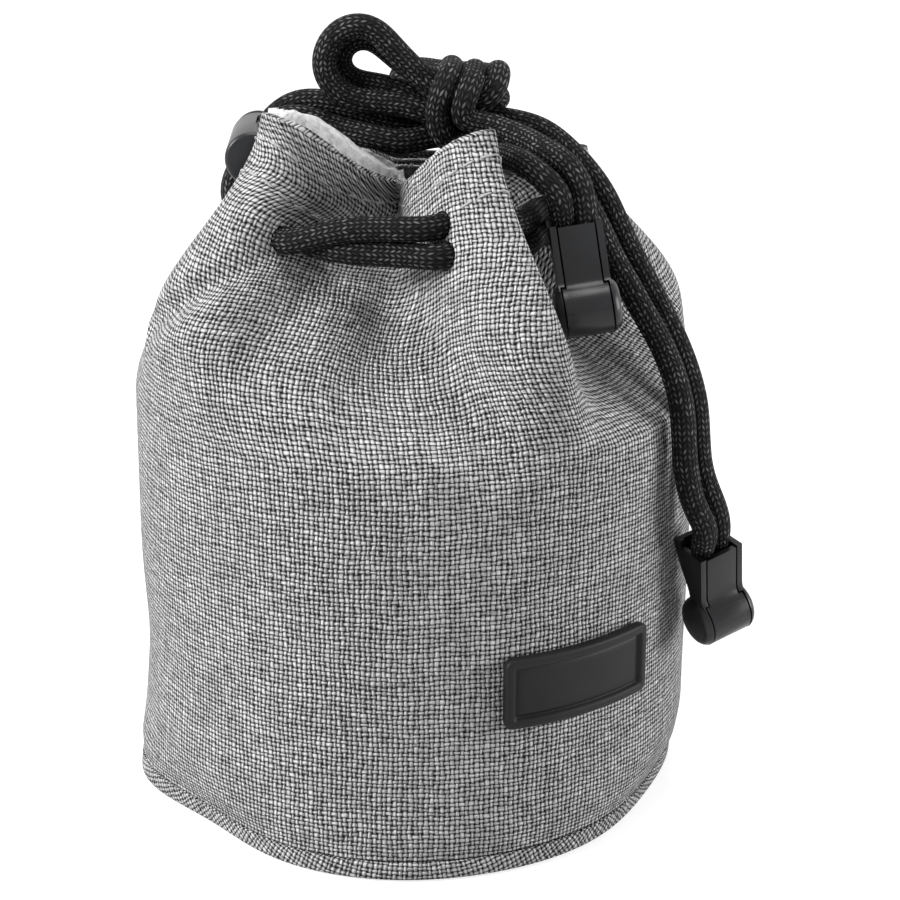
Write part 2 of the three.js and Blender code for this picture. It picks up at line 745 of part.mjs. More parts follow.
locks.forEach(({ name }) => {
  const group = lockGroups[name];
  add(`${name}_barrel`, lockBarrel(), 'plastic', group);
  add(`${name}_plunger`, lockPlunger(), 'plastic', group);
  add(`${name}_spring`, lockSpring(), 'spring', group);
  pouch.add(group);
});

export default pouch;
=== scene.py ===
# %% [markdown]
# # A drawstring lens pouch
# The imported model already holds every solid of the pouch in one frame, in metres. This lesson dresses it.
# Each soft piece is rebuilt as cloth, plush or cord, and each moulded piece gets rounded edges and a finish.

import math

import bmesh
import bpy
import numpy as np
from mathutils import Matrix, Vector


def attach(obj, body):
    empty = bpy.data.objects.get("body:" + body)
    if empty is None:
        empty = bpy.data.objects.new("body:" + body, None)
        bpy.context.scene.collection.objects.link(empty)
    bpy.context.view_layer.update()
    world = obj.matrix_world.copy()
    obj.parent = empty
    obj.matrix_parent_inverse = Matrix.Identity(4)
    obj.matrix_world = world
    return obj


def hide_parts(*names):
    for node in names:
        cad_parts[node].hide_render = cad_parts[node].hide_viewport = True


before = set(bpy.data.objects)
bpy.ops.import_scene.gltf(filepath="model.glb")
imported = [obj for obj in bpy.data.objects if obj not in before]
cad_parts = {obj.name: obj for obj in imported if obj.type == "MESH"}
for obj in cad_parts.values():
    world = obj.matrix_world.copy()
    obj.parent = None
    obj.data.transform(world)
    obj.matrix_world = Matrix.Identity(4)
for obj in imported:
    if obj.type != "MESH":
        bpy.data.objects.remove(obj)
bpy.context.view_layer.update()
scene = bpy.context.scene
MM = 0.001

# %% [markdown]
# ## Camera
# The photograph was taken from a little above the pouch with a long lens, so upright lines stay nearly
# parallel. A camera could be aimed by eye, but a known pixel for the pouch's middle gives the frame at once:
# the lens shift moves that point away from the picture's centre without turning the camera.

# %% Set the camera
IMAGE = 900
AIM = Vector((0, 0, 65)) * MM
AIM_PIXEL = (413, 430)
DISTANCE = 450 * MM
ELEVATION = math.radians(19.5)
SENSOR = 36
LENS = 97.6

camera_data = bpy.data.cameras.new("photo_camera")
camera = bpy.data.objects.new("photo_camera", camera_data)
scene.collection.objects.link(camera)
camera.location = AIM + DISTANCE * Vector((0, -math.cos(ELEVATION), math.sin(ELEVATION)))
camera.rotation_euler = (AIM - camera.location).to_track_quat("-Z", "Y").to_euler()
camera_data.sensor_width = SENSOR
camera_data.lens = LENS
camera_data.shift_x = (IMAGE / 2 - AIM_PIXEL[0]) / IMAGE
camera_data.shift_y = (AIM_PIXEL[1] - IMAGE / 2) / IMAGE
scene.camera = camera
print("camera at", [round(x, 4) for x in camera.location])

# %% [markdown]
# ## Meshes from grids of points
# Cloth, cords and moulded shells are all grids of points that close on themselves one way or the other.
# Blender could loft them with modifiers, but points worked out in numpy keep the shape exact, and the same
# grid carries the texture coordinates. Those are in millimetres, so that a weave keeps its true pitch.


# %% A mesh over a grid
SAME_PLACE = 1e-7


def mesh_object(name, points, faces, corner_uv=None):
    mesh = bpy.data.meshes.new(name)
    mesh.from_pydata((np.asarray(points) * MM).tolist(), [], faces)
    if corner_uv is not None:
        layer = mesh.uv_layers.new(name="UVMap")
        layer.data.foreach_set("uv", np.asarray(corner_uv, dtype=np.float32).ravel())
    tidy = bmesh.new()
    tidy.from_mesh(mesh)
    bmesh.ops.remove_doubles(tidy, verts=tidy.verts, dist=SAME_PLACE)
    bmesh.ops.recalc_face_normals(tidy, faces=tidy.faces)
    tidy.to_mesh(mesh)
    tidy.free()
    mesh.shade_smooth()
    obj = bpy.data.objects.new(name, mesh)
    scene.collection.objects.link(obj)
    return obj


def lattice(name, points, uv, close_rows=False, caps=False):
    """A mesh over rings of points. Where the grid closes on itself, uv has one row or column more than it."""
    rows, columns = points.shape[:2]
    row = np.arange(rows if close_rows else rows - 1)
    row, column = np.meshgrid(row, np.arange(columns), indexing="ij")
    corners = [(row, column), (row, column + 1), (row + 1, column + 1), (row + 1, column)]
    faces = np.stack([(i % rows) * columns + j % columns for i, j in corners], -1).reshape(-1, 4).tolist()
    corner_uv = np.stack([uv[i, j] for i, j in corners], 2).reshape(-1, 2)
    if caps:
        for end in (0, rows - 1):
            faces.append([end * columns + j for j in range(columns)])
            corner_uv = np.vstack([corner_uv, uv[end, :columns]])
    return mesh_object(name, points.reshape(-1, 3), faces, corner_uv)


def unit(vectors):
    return vectors / np.linalg.norm(vectors, axis=-1, keepdims=True)


def smoothstep(x, low, high):
    t = np.clip((x - low) / (high - low), 0, 1)
    return t * t * (3 - 2 * t)


def lengths_along(line):
    return np.concatenate([[0], np.cumsum(np.linalg.norm(np.diff(line, axis=0), axis=1))])


# %% [markdown]
# ## Cords
# Two round braided cords go round the mouth inside the cloth. Each comes out at one place, passes a cord
# lock, and its two ends run through the knot to a clip. A Bezier curve with a bevel would make a round cord
# quickly, but a mesh tube carries a coordinate along and around it, which the braid needs.
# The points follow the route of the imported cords.


# %% A smooth route through chosen points
SPAN_STEPS = 24
KNOT_POWER = 0.5
SIDEWAYS = (0.31, 0.22, 0.93)


def route(points, step):
    """A spline through the points, in even steps. The power keeps it from looping where points are close."""
    p = np.asarray(points, float)
    p = np.vstack([2 * p[0] - p[1], p, 2 * p[-1] - p[-2]])
    k = np.concatenate([[0], np.cumsum(np.linalg.norm(np.diff(p, axis=0), axis=1) ** KNOT_POWER)])
    spans = []
    for i in range(1, len(p) - 2):
        t = np.linspace(k[i], k[i + 1], SPAN_STEPS, endpoint=False)[:, None]
        near = [
            ((k[j + 1] - t) * p[j] + (t - k[j]) * p[j + 1]) / (k[j + 1] - k[j])
            for j in (i - 1, i, i + 1)
        ]
        wide = [
            ((k[j + 2] - t) * near[n] + (t - k[j]) * near[n + 1]) / (k[j + 2] - k[j])
            for n, j in enumerate((i - 1, i))
        ]
        spans.append(((k[i + 1] - t) * wide[0] + (t - k[i]) * wide[1]) / (k[i + 1] - k[i]))
    return even(np.vstack(spans + [p[-2:-1]]), step)


def even(line, step):
    along = lengths_along(line)
    stops = np.linspace(0, along[-1], max(4, round(along[-1] / step)) + 1)
    return np.stack([np.interp(stops, along, line[:, axis]) for axis in range(3)], 1)


def eased_along_rows(values, passes):
    """Each row moves towards its two neighbours, again and again; the first and the last stay."""
    for _ in range(passes):
        inner = 0.25 * values[:-2] + 0.5 * values[1:-1] + 0.25 * values[2:]
        values = np.vstack([values[:1], inner, values[-1:]])
    return values


def tube_points(line, radius, sides):
    """Rings round a line. Each takes its side from the ring before it, so the tube doesn't twist."""
    tangent = unit(np.gradient(line, axis=0))
    normal = np.zeros_like(line)
    side = np.cross(tangent[0], SIDEWAYS)
    for i, forward in enumerate(tangent):
        side = side - forward * side.dot(forward)
        side = side / np.linalg.norm(side)
        normal[i] = side
    across = np.cross(tangent, normal)
    turn = np.linspace(0, 2 * np.pi, sides, endpoint=False)[None, :, None]
    radius = np.broadcast_to(radius, len(line))[:, None, None]
    return line[:, None] + radius * (normal[:, None] * np.cos(turn) + across[:, None] * np.sin(turn))


def tube(name, line, radius, sides=28):
    uv = np.stack(np.meshgrid(lengths_along(line), np.linspace(0, 1, sides + 1), indexing="ij"), -1)
    return lattice(name, tube_points(line, radius, sides), uv, caps=True)


# %% Where the cords run
CORD_RADIUS = 2.2
RING_RADIUS = 30.5
RING_HEIGHT = 107.3
RING_RISE = 1.2
RING_STEP = 0.7
RING_SAMPLES = 400
TUCKS = [
    dict(angle=-57, depth=3.5, spread=10),
    dict(angle=-10, depth=2, spread=20),
    dict(angle=19, depth=4.5, spread=8),
    dict(angle=58, depth=5, spread=16),
]
BACK_TUCK = dict(angle=259, depth=4.3, spread=11)
RING_PITCH = 4.4
PINCH = dict(angle=-44, spread=16, draw=0.85, part=2.1, drop=1.2)
SLOT_EDGE = dict(angle=11, spread=8, part=-1.7)
NECK_CORDS = {
    "left": dict(lift=-RING_PITCH / 2, exits=(240, 276)),
    "back": dict(lift=RING_PITCH / 2, exits=(130, 202)),
}


def turned_away(angle, centre):
    return (angle - centre + 180) % 360 - 180


def polar(angle, radius, height):
    angle = np.radians(angle)
    x, y, z = np.broadcast_arrays(radius * np.sin(angle), -radius * np.cos(angle), height)
    return np.stack([x, y, z], -1)


def nearness(angle, place):
    """1 in the middle of a place round the bag, falling to 0 beyond its spread."""
    return np.exp(-((turned_away(angle, place["angle"]) / place["spread"]) ** 2))


def ring_point(cord, angle):
    """Both cords cut across the valleys, and where they are pinched one slips in behind the other."""
    lift = NECK_CORDS[cord]["lift"]
    pinch = nearness(angle, PINCH)
    parted = PINCH["part"] * pinch + SLOT_EDGE["part"] * nearness(angle, SLOT_EDGE)
    outward = math.copysign(1, lift) * parted - sum(tuck["depth"] * nearness(angle, tuck) for tuck in TUCKS)
    if cord == "back":
        outward = outward - BACK_TUCK["depth"] * nearness(angle, BACK_TUCK)
    rise = RING_RISE * np.cos(np.radians(angle)) - PINCH["drop"] * pinch + lift * (1 - PINCH["draw"] * pinch)
    return polar(angle, RING_RADIUS + outward, RING_HEIGHT + rise)


def ring_line(cord):
    low, high = NECK_CORDS[cord]["exits"]
    return even(ring_point(cord, np.linspace(high, low + 360, RING_SAMPLES)), RING_STEP)


ring_lines = {cord: ring_line(cord) for cord in NECK_CORDS}
for cord, line in ring_lines.items():
    print("neck cord", cord, "runs", round(lengths_along(line)[-1]), "mm round the mouth")

# %% Clips and locks stand at these places
CLIPS = {
    "clip_front": dict(place=(29.6, -27, 96.5), turn=(-17, -9, 0), body="front_lid"),
    "clip_side": dict(place=(55, -20.5, 37.4), turn=(10, -9, 30), body="side_lid"),
}
LOCKS = {
    "lock_left": dict(place=(-28.3, 6.3, 117), turn=(0, 35, 0), body="left_button"),
    "lock_back": dict(place=(-2.8, 31.4, 116.3), turn=(0, 0, 0), body="back_button"),
}


def placing(fitting):
    x, y, z = (Matrix.Rotation(math.radians(a), 4, axis) for a, axis in zip(fitting["turn"], "XYZ"))
    return Matrix.Translation(fitting["place"]) @ x @ y @ z


def placed(fitting, points):
    matrix = np.array(placing(fitting))
    return np.asarray(points, float) @ matrix[:3, :3].T + matrix[:3, 3]


# %% The four free strands, from the mouth through the knot to the clips
FIRST_RUN = 2.5
CLIP_ENTRY = [
    dict(aside=2.1, back=0, front=1, level=19.7),
    dict(aside=1.9, back=0.1, front=0.2, level=15.2),
    dict(aside=1.75, back=0.25, front=0, level=12),
    dict(aside=1.7, back=0, front=0, level=9),
]


def into_clip(clip, side, front):
    """The last points of a strand, which comes in on one side and so far to the front."""
    local = [(side * p["aside"], p["back"] + p["front"] * front, p["level"]) for p in CLIP_ENTRY]
    return placed(CLIPS[clip], local)


def leaving(cord, end):
    """The first points of a strand, where its cord leaves the mouth."""
    angle = NECK_CORDS[cord]["exits"][end]
    onward = math.degrees(FIRST_RUN / RING_RADIUS) * (1 if end == 0 else -1)
    return [ring_point(cord, angle), ring_point(cord, angle + onward)]


STRANDS = {
    "cord_left_back": [
        *leaving("left", 0),
        (-31.2, 10.8, 104.4), (-32.6, 8.8, 105.6), (-33, 8.6, 107.8), (-32.7, 8.7, 109.8),
        (-31.7, 8.7, 112.1), (-28.3, 8.7, 117), (-24.9, 8.7, 121.9), (-20.5, 8.4, 124.6), (-12, 6.9, 124.2),
        (-4, 7.2, 121.8), (2, 8.6, 121), (4.6, 9.4, 125.4), (5.6, 7.8, 130.6), (6.3, 2.6, 132.9),
        (5.2, -2.8, 131.4), (3.6, -5.4, 127.4), (3.1, -5, 122.6), (4.6, -3.6, 118.6), (8.2, -4.4, 117.2),
        (11.3, -5.6, 117.8),
        (15.2, -11.5, 119.4), (18.4, -18.5, 119.8), (21.2, -22.8, 118.8), *into_clip("clip_front", -1, -2.4),
    ],
    "cord_left_front": [
        *leaving("left", 1),
        (-31.6, 1.8, 105.2), (-32, 3.4, 107.2), (-32.3, 3.8, 109.4), (-31.7, 3.9, 112.1), (-28.3, 3.9, 117),
        (-24.9, 3.9, 121.9), (-20.5, 3.7, 122.9), (-12, 2.2, 120.6),
        (-5, -0.4, 119.8), (1, 1.5, 117.4), (7.5, 5.8, 118.4), (10.2, 9.3, 122.4), (11.4, 9.2, 127.4),
        (12.2, 6.2, 131.4), (12.2, 1, 132.8), (11, -3.8, 131), (8.8, -6.2, 127.9), (6.9, -6.2, 124.2),
        (8, -5.6, 121.6), (11.5, -5.4, 121.4), (14.8, -5.6, 122),
        (19.3, -9.5, 121.8), (23.2, -15, 120.6), (26.6, -19.2, 119), *into_clip("clip_front", 1, -0.2),
    ],
    "cord_back_inner": [
        *leaving("back", 0),
        (17, 25.2, 108.7), (10.5, 28.4, 108.7), (3.5, 29.4, 108.6), (-0.8, 29.2, 109), (-2.7, 29, 111),
        (-2.8, 29, 116), (-2.8, 29, 121.6), (-2.2, 27.2, 123.4), (1, 23, 123.6),
        (6.5, 18, 123.2), (12, 14, 123.8), (16.4, 9.6, 125.4), (18.2, 5.6, 126.8), (16.8, 2.4, 127.4),
        (13.2, 2.7, 127.6), (8, 4.2, 128.2), (2.5, 5, 128.4),
        (-3, 6.2, 132.8), (-6.5, 6.5, 135.9), (-10.6, 6.4, 136.2), (-13.2, 6.2, 132.6), (-11, 6, 129),
        (-6, 5.6, 128.2), (-1, 5.3, 126.6), (3, 4.8, 124.8), (8, 4.6, 123.7), (13.5, 3.6, 122.6),
        (18.5, 2.4, 122.4), (24.5, 0.4, 120), (28.9, -3.8, 116.8), (33, -8, 112.2), (37.2, -8.6, 103.6),
        (41, -10, 96.6), (44.2, -12, 90.8), (47.3, -15.5, 84.5), (49.5, -19, 77.3), (50.6, -22.4, 65.7),
        *into_clip("clip_side", 1, -0.2),
    ],
    "cord_back_outer": [
        *leaving("back", 1),
        (-6, 32.2, 108.4), (-3.4, 33.9, 109), (-2.8, 33.8, 111.6), (-2.8, 33.8, 117), (-2.8, 33.8, 122.2),
        (-2.2, 32.6, 125), (1, 28.4, 126.6),
        (6, 22, 127.2), (11.5, 15, 128.4), (15.6, 9, 130.2), (17.2, 3.4, 131.6), (17, -1.6, 129.8),
        (13.5, -2, 127.6), (8, -0.8, 127.8), (3, 0.2, 129.2), (-1.5, 1, 133), (-4.8, 1.6, 137),
        (-8.4, 1.8, 139.4), (-13, 2, 138.2), (-15.6, 2.2, 133.4), (-14.6, 1.9, 129.4), (-11, 1.6, 126.8),
        (-4, 1, 125.6),
        (3, 0.2, 124.2), (8, -0.3, 123.2), (13, -0.6, 121.2), (17, -0.8, 119),
        (22.2, -5, 116.8), (25.4, -9.4, 115.4), (28.8, -13.4, 112.9), (32.3, -15, 106.9), (34.5, -15, 102.3),
        (36.9, -15.5, 98.3), (39.8, -17.5, 93.4), (43.8, -20.4, 86.5), (46.3, -24.9, 79.2),
        (47.4, -27.2, 67.2), (48.8, -27.4, 61.4), *into_clip("clip_side", -1, -2.4),
    ],
}
print("points on each strand:", {name: len(points) for name, points in STRANDS.items()})

# %% [markdown]
# A tied knot is hard to draw by hand, because strands that touch must not pass through each other.
# Instead the rough routes are settled: points of different strands that are closer than a cord's width
# push each other apart, while the whole knot is drawn tight. Between the pushes each strand is smoothed and
# then swollen back by a little more, which takes out the kinks but doesn't let the wraps shrink.


# %% Settle the knot
KNOT = np.array([8, 1.8, 126])
SETTLED_REACH = 30
SETTLED_FADE = 8
TOUCHING = 1.94 * CORD_RADIUS
TIGHT = dict(reach=13, fade=4, share=0.006)
ROUNDS = 120
SMOOTHED_AND_SWOLLEN = (0.5, -0.52)
OWN_NEIGHBOURS = 9
LEAST_GAP = 1e-6
ROUGH_STEP = 1.1
STRAND_STEP = 0.6
ROUNDED = 12


def eased(points, weight):
    middle = 0.5 * (np.roll(points, 1, axis=0) + np.roll(points, -1, axis=0))
    return points + weight[:, None] * (middle - points)


def within(distance, reach, fade):
    """1 near a place, falling to 0 at its reach."""
    return np.clip((reach - distance) / fade, 0, 1)


def settle(lines):
    points = np.vstack(lines)
    owner = np.concatenate([np.full(len(line), i) for i, line in enumerate(lines)])
    place = np.concatenate([np.arange(len(line)) for line in lines])
    from_knot = np.linalg.norm(points - KNOT, axis=1)
    free = within(from_knot, SETTLED_REACH, SETTLED_FADE)
    drawn = TIGHT["share"] * within(from_knot, TIGHT["reach"], TIGHT["fade"])
    loose = np.flatnonzero(free > 0)
    ends = (place == 0) | np.append(owner[1:] != owner[:-1], True)
    weight = np.where(ends, 0, free)
    other_strand = owner[loose][:, None] != owner[loose][None]
    far_along = other_strand | (abs(place[loose][:, None] - place[loose][None]) > OWN_NEIGHBOURS)
    for _ in range(ROUNDS):
        points = points + drawn[:, None] * (KNOT - points)
        for share in SMOOTHED_AND_SWOLLEN:
            points = eased(points, share * weight)
        apart = points[loose][:, None] - points[loose][None]
        gap = np.linalg.norm(apart, axis=-1)
        close = far_along & (gap < TOUCHING)
        push = np.where(close, (TOUCHING - gap) / np.maximum(gap, LEAST_GAP), 0)
        count = np.maximum(close.sum(1), 1)[:, None]
        points[loose] += free[loose][:, None] * 0.5 * (push[..., None] * apart).sum(1) / count
    return [points[owner == i] for i in range(len(lines))]


rough = [route(points, ROUGH_STEP) for points in STRANDS.values()]
strand_lines = {}
for name, line in zip(STRANDS, settle(rough)):
    smooth = eased_along_rows(route(line[::2], STRAND_STEP), ROUNDED)
    strand_lines[name] = even(smooth, STRAND_STEP)
for name, line in strand_lines.items():
    print(name, "is", round(lengths_along(line)[-1]), "mm long")

# %% Make the cords
STRAND_NODES = {
    "cord_left_back": ("lead_left_back", "tail_short_left", "cord_knot"),
    "cord_left_front": ("lead_left_front", "tail_short_right", "cord_knot"),
    "cord_back_inner": ("lead_back_inner", "bow_loop_inner", "tail_long_right", "cord_knot"),
    "cord_back_outer": ("lead_back_outer", "bow_loop_outer", "tail_long_left", "cord_knot"),
}
DRESSED = {}
PRESSED = dict(radius=1.6, start=1, run=7.5)


def keep(obj, finish, slot, body, *nodes):
    DRESSED[obj.name] = finish
    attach(obj, body)
    if nodes:
        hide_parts(*nodes)
    return obj


def keep_cord(name, line, radius, lay, *nodes):
    obj = keep(tube(name, line, radius), "cord", "cord", "pouch", *nodes)
    tuple(line[0] * MM)
    lengths_along(line)[-1] * MM
    (line * MM).tolist()
    return obj


def pressed_at_end(line):
    """A strand's radius along its route: the clip presses the last of it thinner."""
    left = lengths_along(line)[-1] - lengths_along(line)
    round_again = smoothstep(left, PRESSED["start"], PRESSED["run"])
    return PRESSED["radius"] + (CORD_RADIUS - PRESSED["radius"]) * round_again


for cord, line in ring_lines.items():
    keep_cord(f"neck_cord_{cord}_braid", line, CORD_RADIUS, "taut", f"neck_cord_{cord}")
for name, line in strand_lines.items():
    keep_cord(name, line, pressed_at_end(line), "hanging", *STRAND_NODES[name])
print("cords made:", len(DRESSED))

# %% [markdown]
# ## The bag
# The bag is a padded tube of cloth sewn to a round base, and the cords draw its mouth in to standing folds.
# Cloth simulation could gather it, but where each fold lies would then be left to chance. Here the skin is
# one surface of angle and height: valleys where the cords pull in, peaks between them, finer creases on top.

# %% The shape of the drawn-in mouth
BODY_RADIUS = 51
SHOULDER = 75
SEAM = 3.6
FIT = 0.3
VALLEY = dict(rim_radius=11, rim_height=113.5, curve=1.65)
PEAKS = [
    dict(angle=-59, before=(20, 20), after=(19, 25), edge=4.5, lean=0, rise=14, rim_radius=29.5),
    dict(angle=27, before=(21, 9), after=(8, 8), edge=2.0, lean=4, rise=14, rim_radius=29.5),
    dict(angle=106, before=(17, 17), after=(20, 20), edge=2.0, lean=0, rise=3, rim_radius=33),
    dict(angle=220, before=(13, 13), after=(16, 16), edge=2.0, lean=0, rise=3, rim_radius=29.5),
]
PEAK_UPRIGHT = 0.3
SIDE_FOLD = dict(angle=62, spread=22, curve=1.55, lean=0, drop=5)
FRONT_FOLD = dict(angle=-14, spread=17, curve=1.5, lean=18)
GATHER = dict(angle=-29, spread=15, depth=11, height=107.5, tall=6)


def peak_shares(angle, share):
    """How much of each peak there is; its spread to either side is given at the rim and at the shoulder."""
    shares = []
    for peak in PEAKS:
        away = turned_away(angle - peak["lean"] * (1 - share), peak["angle"])
        before, after = (low + (high - low) * share for high, low in (peak["before"], peak["after"]))
        rising = np.exp(-((away / before) ** 2))
        falling = np.exp(-(np.maximum(away, 0) / after) ** peak["edge"])
        shares.append(np.where(away < 0, rising, falling))
    return shares


def rim_height(angle):
    rise = sum(peak["rise"] * share for peak, share in zip(PEAKS, peak_shares(angle, 1.0)))
    return VALLEY["rim_height"] + rise - SIDE_FOLD["drop"] * nearness(angle, SIDE_FOLD)


def neck_radius(angle, share):
    """The skin's radius between the shoulder, where share is 0, and the rim, where it is 1."""
    plain = share ** VALLEY["curve"]
    drawn = plain
    for fold in (SIDE_FOLD, FRONT_FOLD):
        folded = 1 - (1 - share) ** fold["curve"]
        drawn = drawn + (folded - plain) * nearness(angle - fold["lean"] * (1 - share), fold)
    valley = BODY_RADIUS - (BODY_RADIUS - VALLEY["rim_radius"]) * drawn
    upright = smoothstep(share, PEAK_UPRIGHT, 1)
    radius = valley
    for peak, weight in zip(PEAKS, peak_shares(angle, share)):
        radius = radius + (BODY_RADIUS - (BODY_RADIUS - peak["rim_radius"]) * upright - valley) * weight
    return radius


rim = rim_height(np.arange(360.0))
print("rim from", round(rim.min(), 1), "to", round(rim.max(), 1))

# %% Creases and slack
CREASES = [
    dict(start=(-41, 106), end=(-70, 89), width=2.8, depth=3.2),
    dict(start=(-34, 99), end=(-42, 84), width=4.0, depth=0.9),
    dict(start=(4, 104), end=(20, 72), width=7.0, depth=5.0),
    dict(start=(-12, 98), end=(-17, 78), width=4.5, depth=1.0),
    dict(start=(39, 106), end=(47, 80), width=4.4, depth=2.4),
    dict(start=(150, 98), end=(160, 72), width=6.0, depth=1.6),
    dict(start=(255, 97), end=(246, 74), width=5.0, depth=1.4),
    dict(start=(185, 94), end=(205, 82), width=3.5, depth=1.1),
]
BASE_EDGE = [
    dict(angle=66, spread=24, out=-3.0),
    dict(angle=-77, spread=13, out=1.9),
    dict(angle=-49, spread=17, out=-2.7),
    dict(angle=-7, spread=24, out=1.2),
]
BASE_FADE = 16
WAIST = dict(angle=-88, spread=34, depth=1.3, height=27, tall=13)
CREASE_ENDS = 0.6
SLACK = [dict(waves=3, start=0.7, climb=29, depth=0.35), dict(waves=7, start=0, climb=-17, depth=0.16)]
SLACK_FROM = (6, 30)


def at_level(height, place):
    """1 at a place's own height, falling to 0 above and below it."""
    return np.exp(-(((height - place["height"]) / place["tall"]) ** 2))


def crease_depth(angle, height):
    """Each crease is a groove along a line on the unrolled cloth, and it fades out at both ends."""
    depth = np.zeros(np.broadcast(angle, height).shape)
    for crease in CREASES:
        (a0, z0), (a1, z1) = crease["start"], crease["end"]
        per_degree = math.radians(1) * BODY_RADIUS
        run = np.array([(a1 - a0) * per_degree, z1 - z0])
        u = turned_away(angle, a0) * per_degree
        v = height - z0
        share = np.clip((u * run[0] + v * run[1]) / run.dot(run), 0, 1)
        off = np.hypot(u - share * run[0], v - share * run[1])
        fading = np.sin(np.pi * share) ** CREASE_ENDS
        depth = depth + crease["depth"] * np.exp(-((off / crease["width"]) ** 2)) * fading
    return depth


def slack(angle, height):
    turn = np.radians(angle)
    sway = [w["depth"] * np.sin(w["waves"] * turn + w["start"] + height / w["climb"]) for w in SLACK]
    return sum(sway) * smoothstep(height, *SLACK_FROM)


def stood(angle, height):
    """How far the standing body is pushed out, or drawn in where this is negative."""
    edge = sum(place["out"] * nearness(angle, place) for place in BASE_EDGE)
    waist = WAIST["depth"] * nearness(angle, WAIST) * at_level(height, WAIST)
    return edge * (1 - smoothstep(height, 0, BASE_FADE)) - waist


def gathered(angle, height):
    """The cords draw the cloth in most at their own level, so above them the rim flares out again."""
    return GATHER["depth"] * nearness(angle, GATHER) * at_level(height, GATHER)


def given_way(angle, height):
    drawn_in = crease_depth(angle, height) + gathered(angle, height)
    return slack(angle, height) + stood(angle, height) - drawn_in


# %% The skin as a grid of angle and height
COLUMNS = 420
BACK_SEAM = -170
BODY_ROWS = 56
NECK_ROWS = 96
SHOULDER_EASE = 40
STEEPEST = 2
angles = np.linspace(BACK_SEAM, BACK_SEAM + 360, COLUMNS, endpoint=False)[None, :]
body_levels = np.linspace(0, 1, BODY_ROWS)[:, None]
neck_levels = np.linspace(0, 1, NECK_ROWS)[1:, None]


def skin(bottom):
    """The outer skin's radius and height, from its bottom edge up to the rim."""
    body_height = bottom + (SHOULDER - bottom) * body_levels + 0 * angles
    neck_height = SHOULDER + neck_levels * (rim_height(angles) - SHOULDER)
    height = np.vstack([body_height, neck_height])
    radius = np.vstack([BODY_RADIUS + 0 * body_height, neck_radius(angles, neck_levels)])
    radius = eased_along_rows(radius, SHOULDER_EASE)
    return radius + given_way(angles, height), height


def inset_stretch(radius):
    """Where a fold is steep, a step towards the axis has to be longer to keep the cloth's thickness."""
    step = math.radians(360 / COLUMNS)
    slope = (np.roll(radius, -1, 1) - np.roll(radius, 1, 1)) / (2 * step)
    return np.minimum(STEEPEST, np.hypot(1, slope / radius))


def surface(radius, height):
    return polar(angles, radius, height)


def run_along(points, axis):
    """How far each point of a grid is from the first, along its rows or its columns."""
    run = np.cumsum(np.linalg.norm(np.diff(points, axis=axis), axis=2), axis=axis)
    return np.concatenate([np.zeros_like(np.take(run, [0], axis)), run], axis)


def arc_uv(points):
    """Millimetres along the cloth, counted from the middle of the front."""
    closed = np.concatenate([points, points[:, :1]], 1)
    across = run_along(closed, 1)
    middle = across[:, [round(COLUMNS / 2)]]
    return np.stack([across - middle, run_along(closed, 0)], -1)


def shell(name, outer, inner):
    """A closed sheet from two grids: up the outer one, over the rim and down the inner one."""
    points = np.concatenate([outer, inner[::-1]])
    outer_uv, inner_uv = arc_uv(outer), arc_uv(inner)
    uv = np.concatenate([outer_uv, inner_uv[::-1], outer_uv[:1]])
    return lattice(name, points, uv, close_rows=True)


CLOTH = 1.0
SEAM_TUCK = dict(depth=0.9, tall=4.5)
wall_radius, wall_height = skin(SEAM + FIT)
stretch = inset_stretch(wall_radius)
tuck_in = SEAM_TUCK["depth"] * (1 - smoothstep(wall_height, SEAM, SEAM + SEAM_TUCK["tall"]))
outer = surface(wall_radius - tuck_in, wall_height)
inner = surface(wall_radius - tuck_in - CLOTH * stretch, wall_height)
outer_wall = shell("outer_wall_cloth", outer, inner)
print("wall faces:", len(outer_wall.data.polygons))

# %% Slots where the cords pass the cloth
WAY_STEP = 1.2
WAY_SIDES = 16
SLOT_EDGE_ANGLE = math.radians(50)


def shaped(obj, *modifiers):
    """Adds modifiers, keeps their result in the mesh and takes them off again."""
    for kind, settings in modifiers:
        modifier = obj.modifiers.new(kind.lower(), kind)
        for key, value in settings.items():
            setattr(modifier, key, value)
    depsgraph = bpy.context.evaluated_depsgraph_get()
    mesh = bpy.data.meshes.new_from_object(obj.evaluated_get(depsgraph))
    mesh.name = obj.data.name
    obj.modifiers.clear()
    obj.data = mesh
    return obj


def combine(obj, operation, others, solver="EXACT"):
    shaped(obj, *[("BOOLEAN", dict(object=other, operation=operation, solver=solver)) for other in others])
    for other in others:
        bpy.data.objects.remove(other)
    return obj


def cut(obj, *others):
    return combine(obj, "DIFFERENCE", others)


def join(obj, *others):
    return combine(obj, "UNION", others)


cord_ways = []
for cord in NECK_CORDS:
    whole = even(ring_point(cord, np.linspace(0, 360, RING_SAMPLES)), WAY_STEP)
    cord_ways.append(tube(f"way_{cord}", whole, CORD_RADIUS + FIT, WAY_SIDES))
combine(outer_wall, "DIFFERENCE", cord_ways, "MANIFOLD")
print("wall faces with slots:", len(outer_wall.data.polygons))
outer_wall.data.set_sharp_from_angle(angle=SLOT_EDGE_ANGLE)
keep(outer_wall, "cloth", "cloth", "pouch", "outer_wall")

# %% [markdown]
# The rim is turned in and sewn down with two rows of stitches. A row could be drawn by the cloth's shader,
# but threads that stand proud catch the light, so each stitch is a short thin tube. All share one mesh.

# %% Hem stitches
STITCH = dict(rows=(4.0, 9.5), length=2.6, gap=1.1, radius=0.24, proud=0.1, sides=6)
STITCH_TAPER = np.array([0.35, 0.85, 1, 1, 1, 0.85, 0.35])
SEAM_CLEAR = 1
ROW_SAMPLES = 3000
ROW_STEP = 0.2
CLEAR_OF_CORD = 3.6


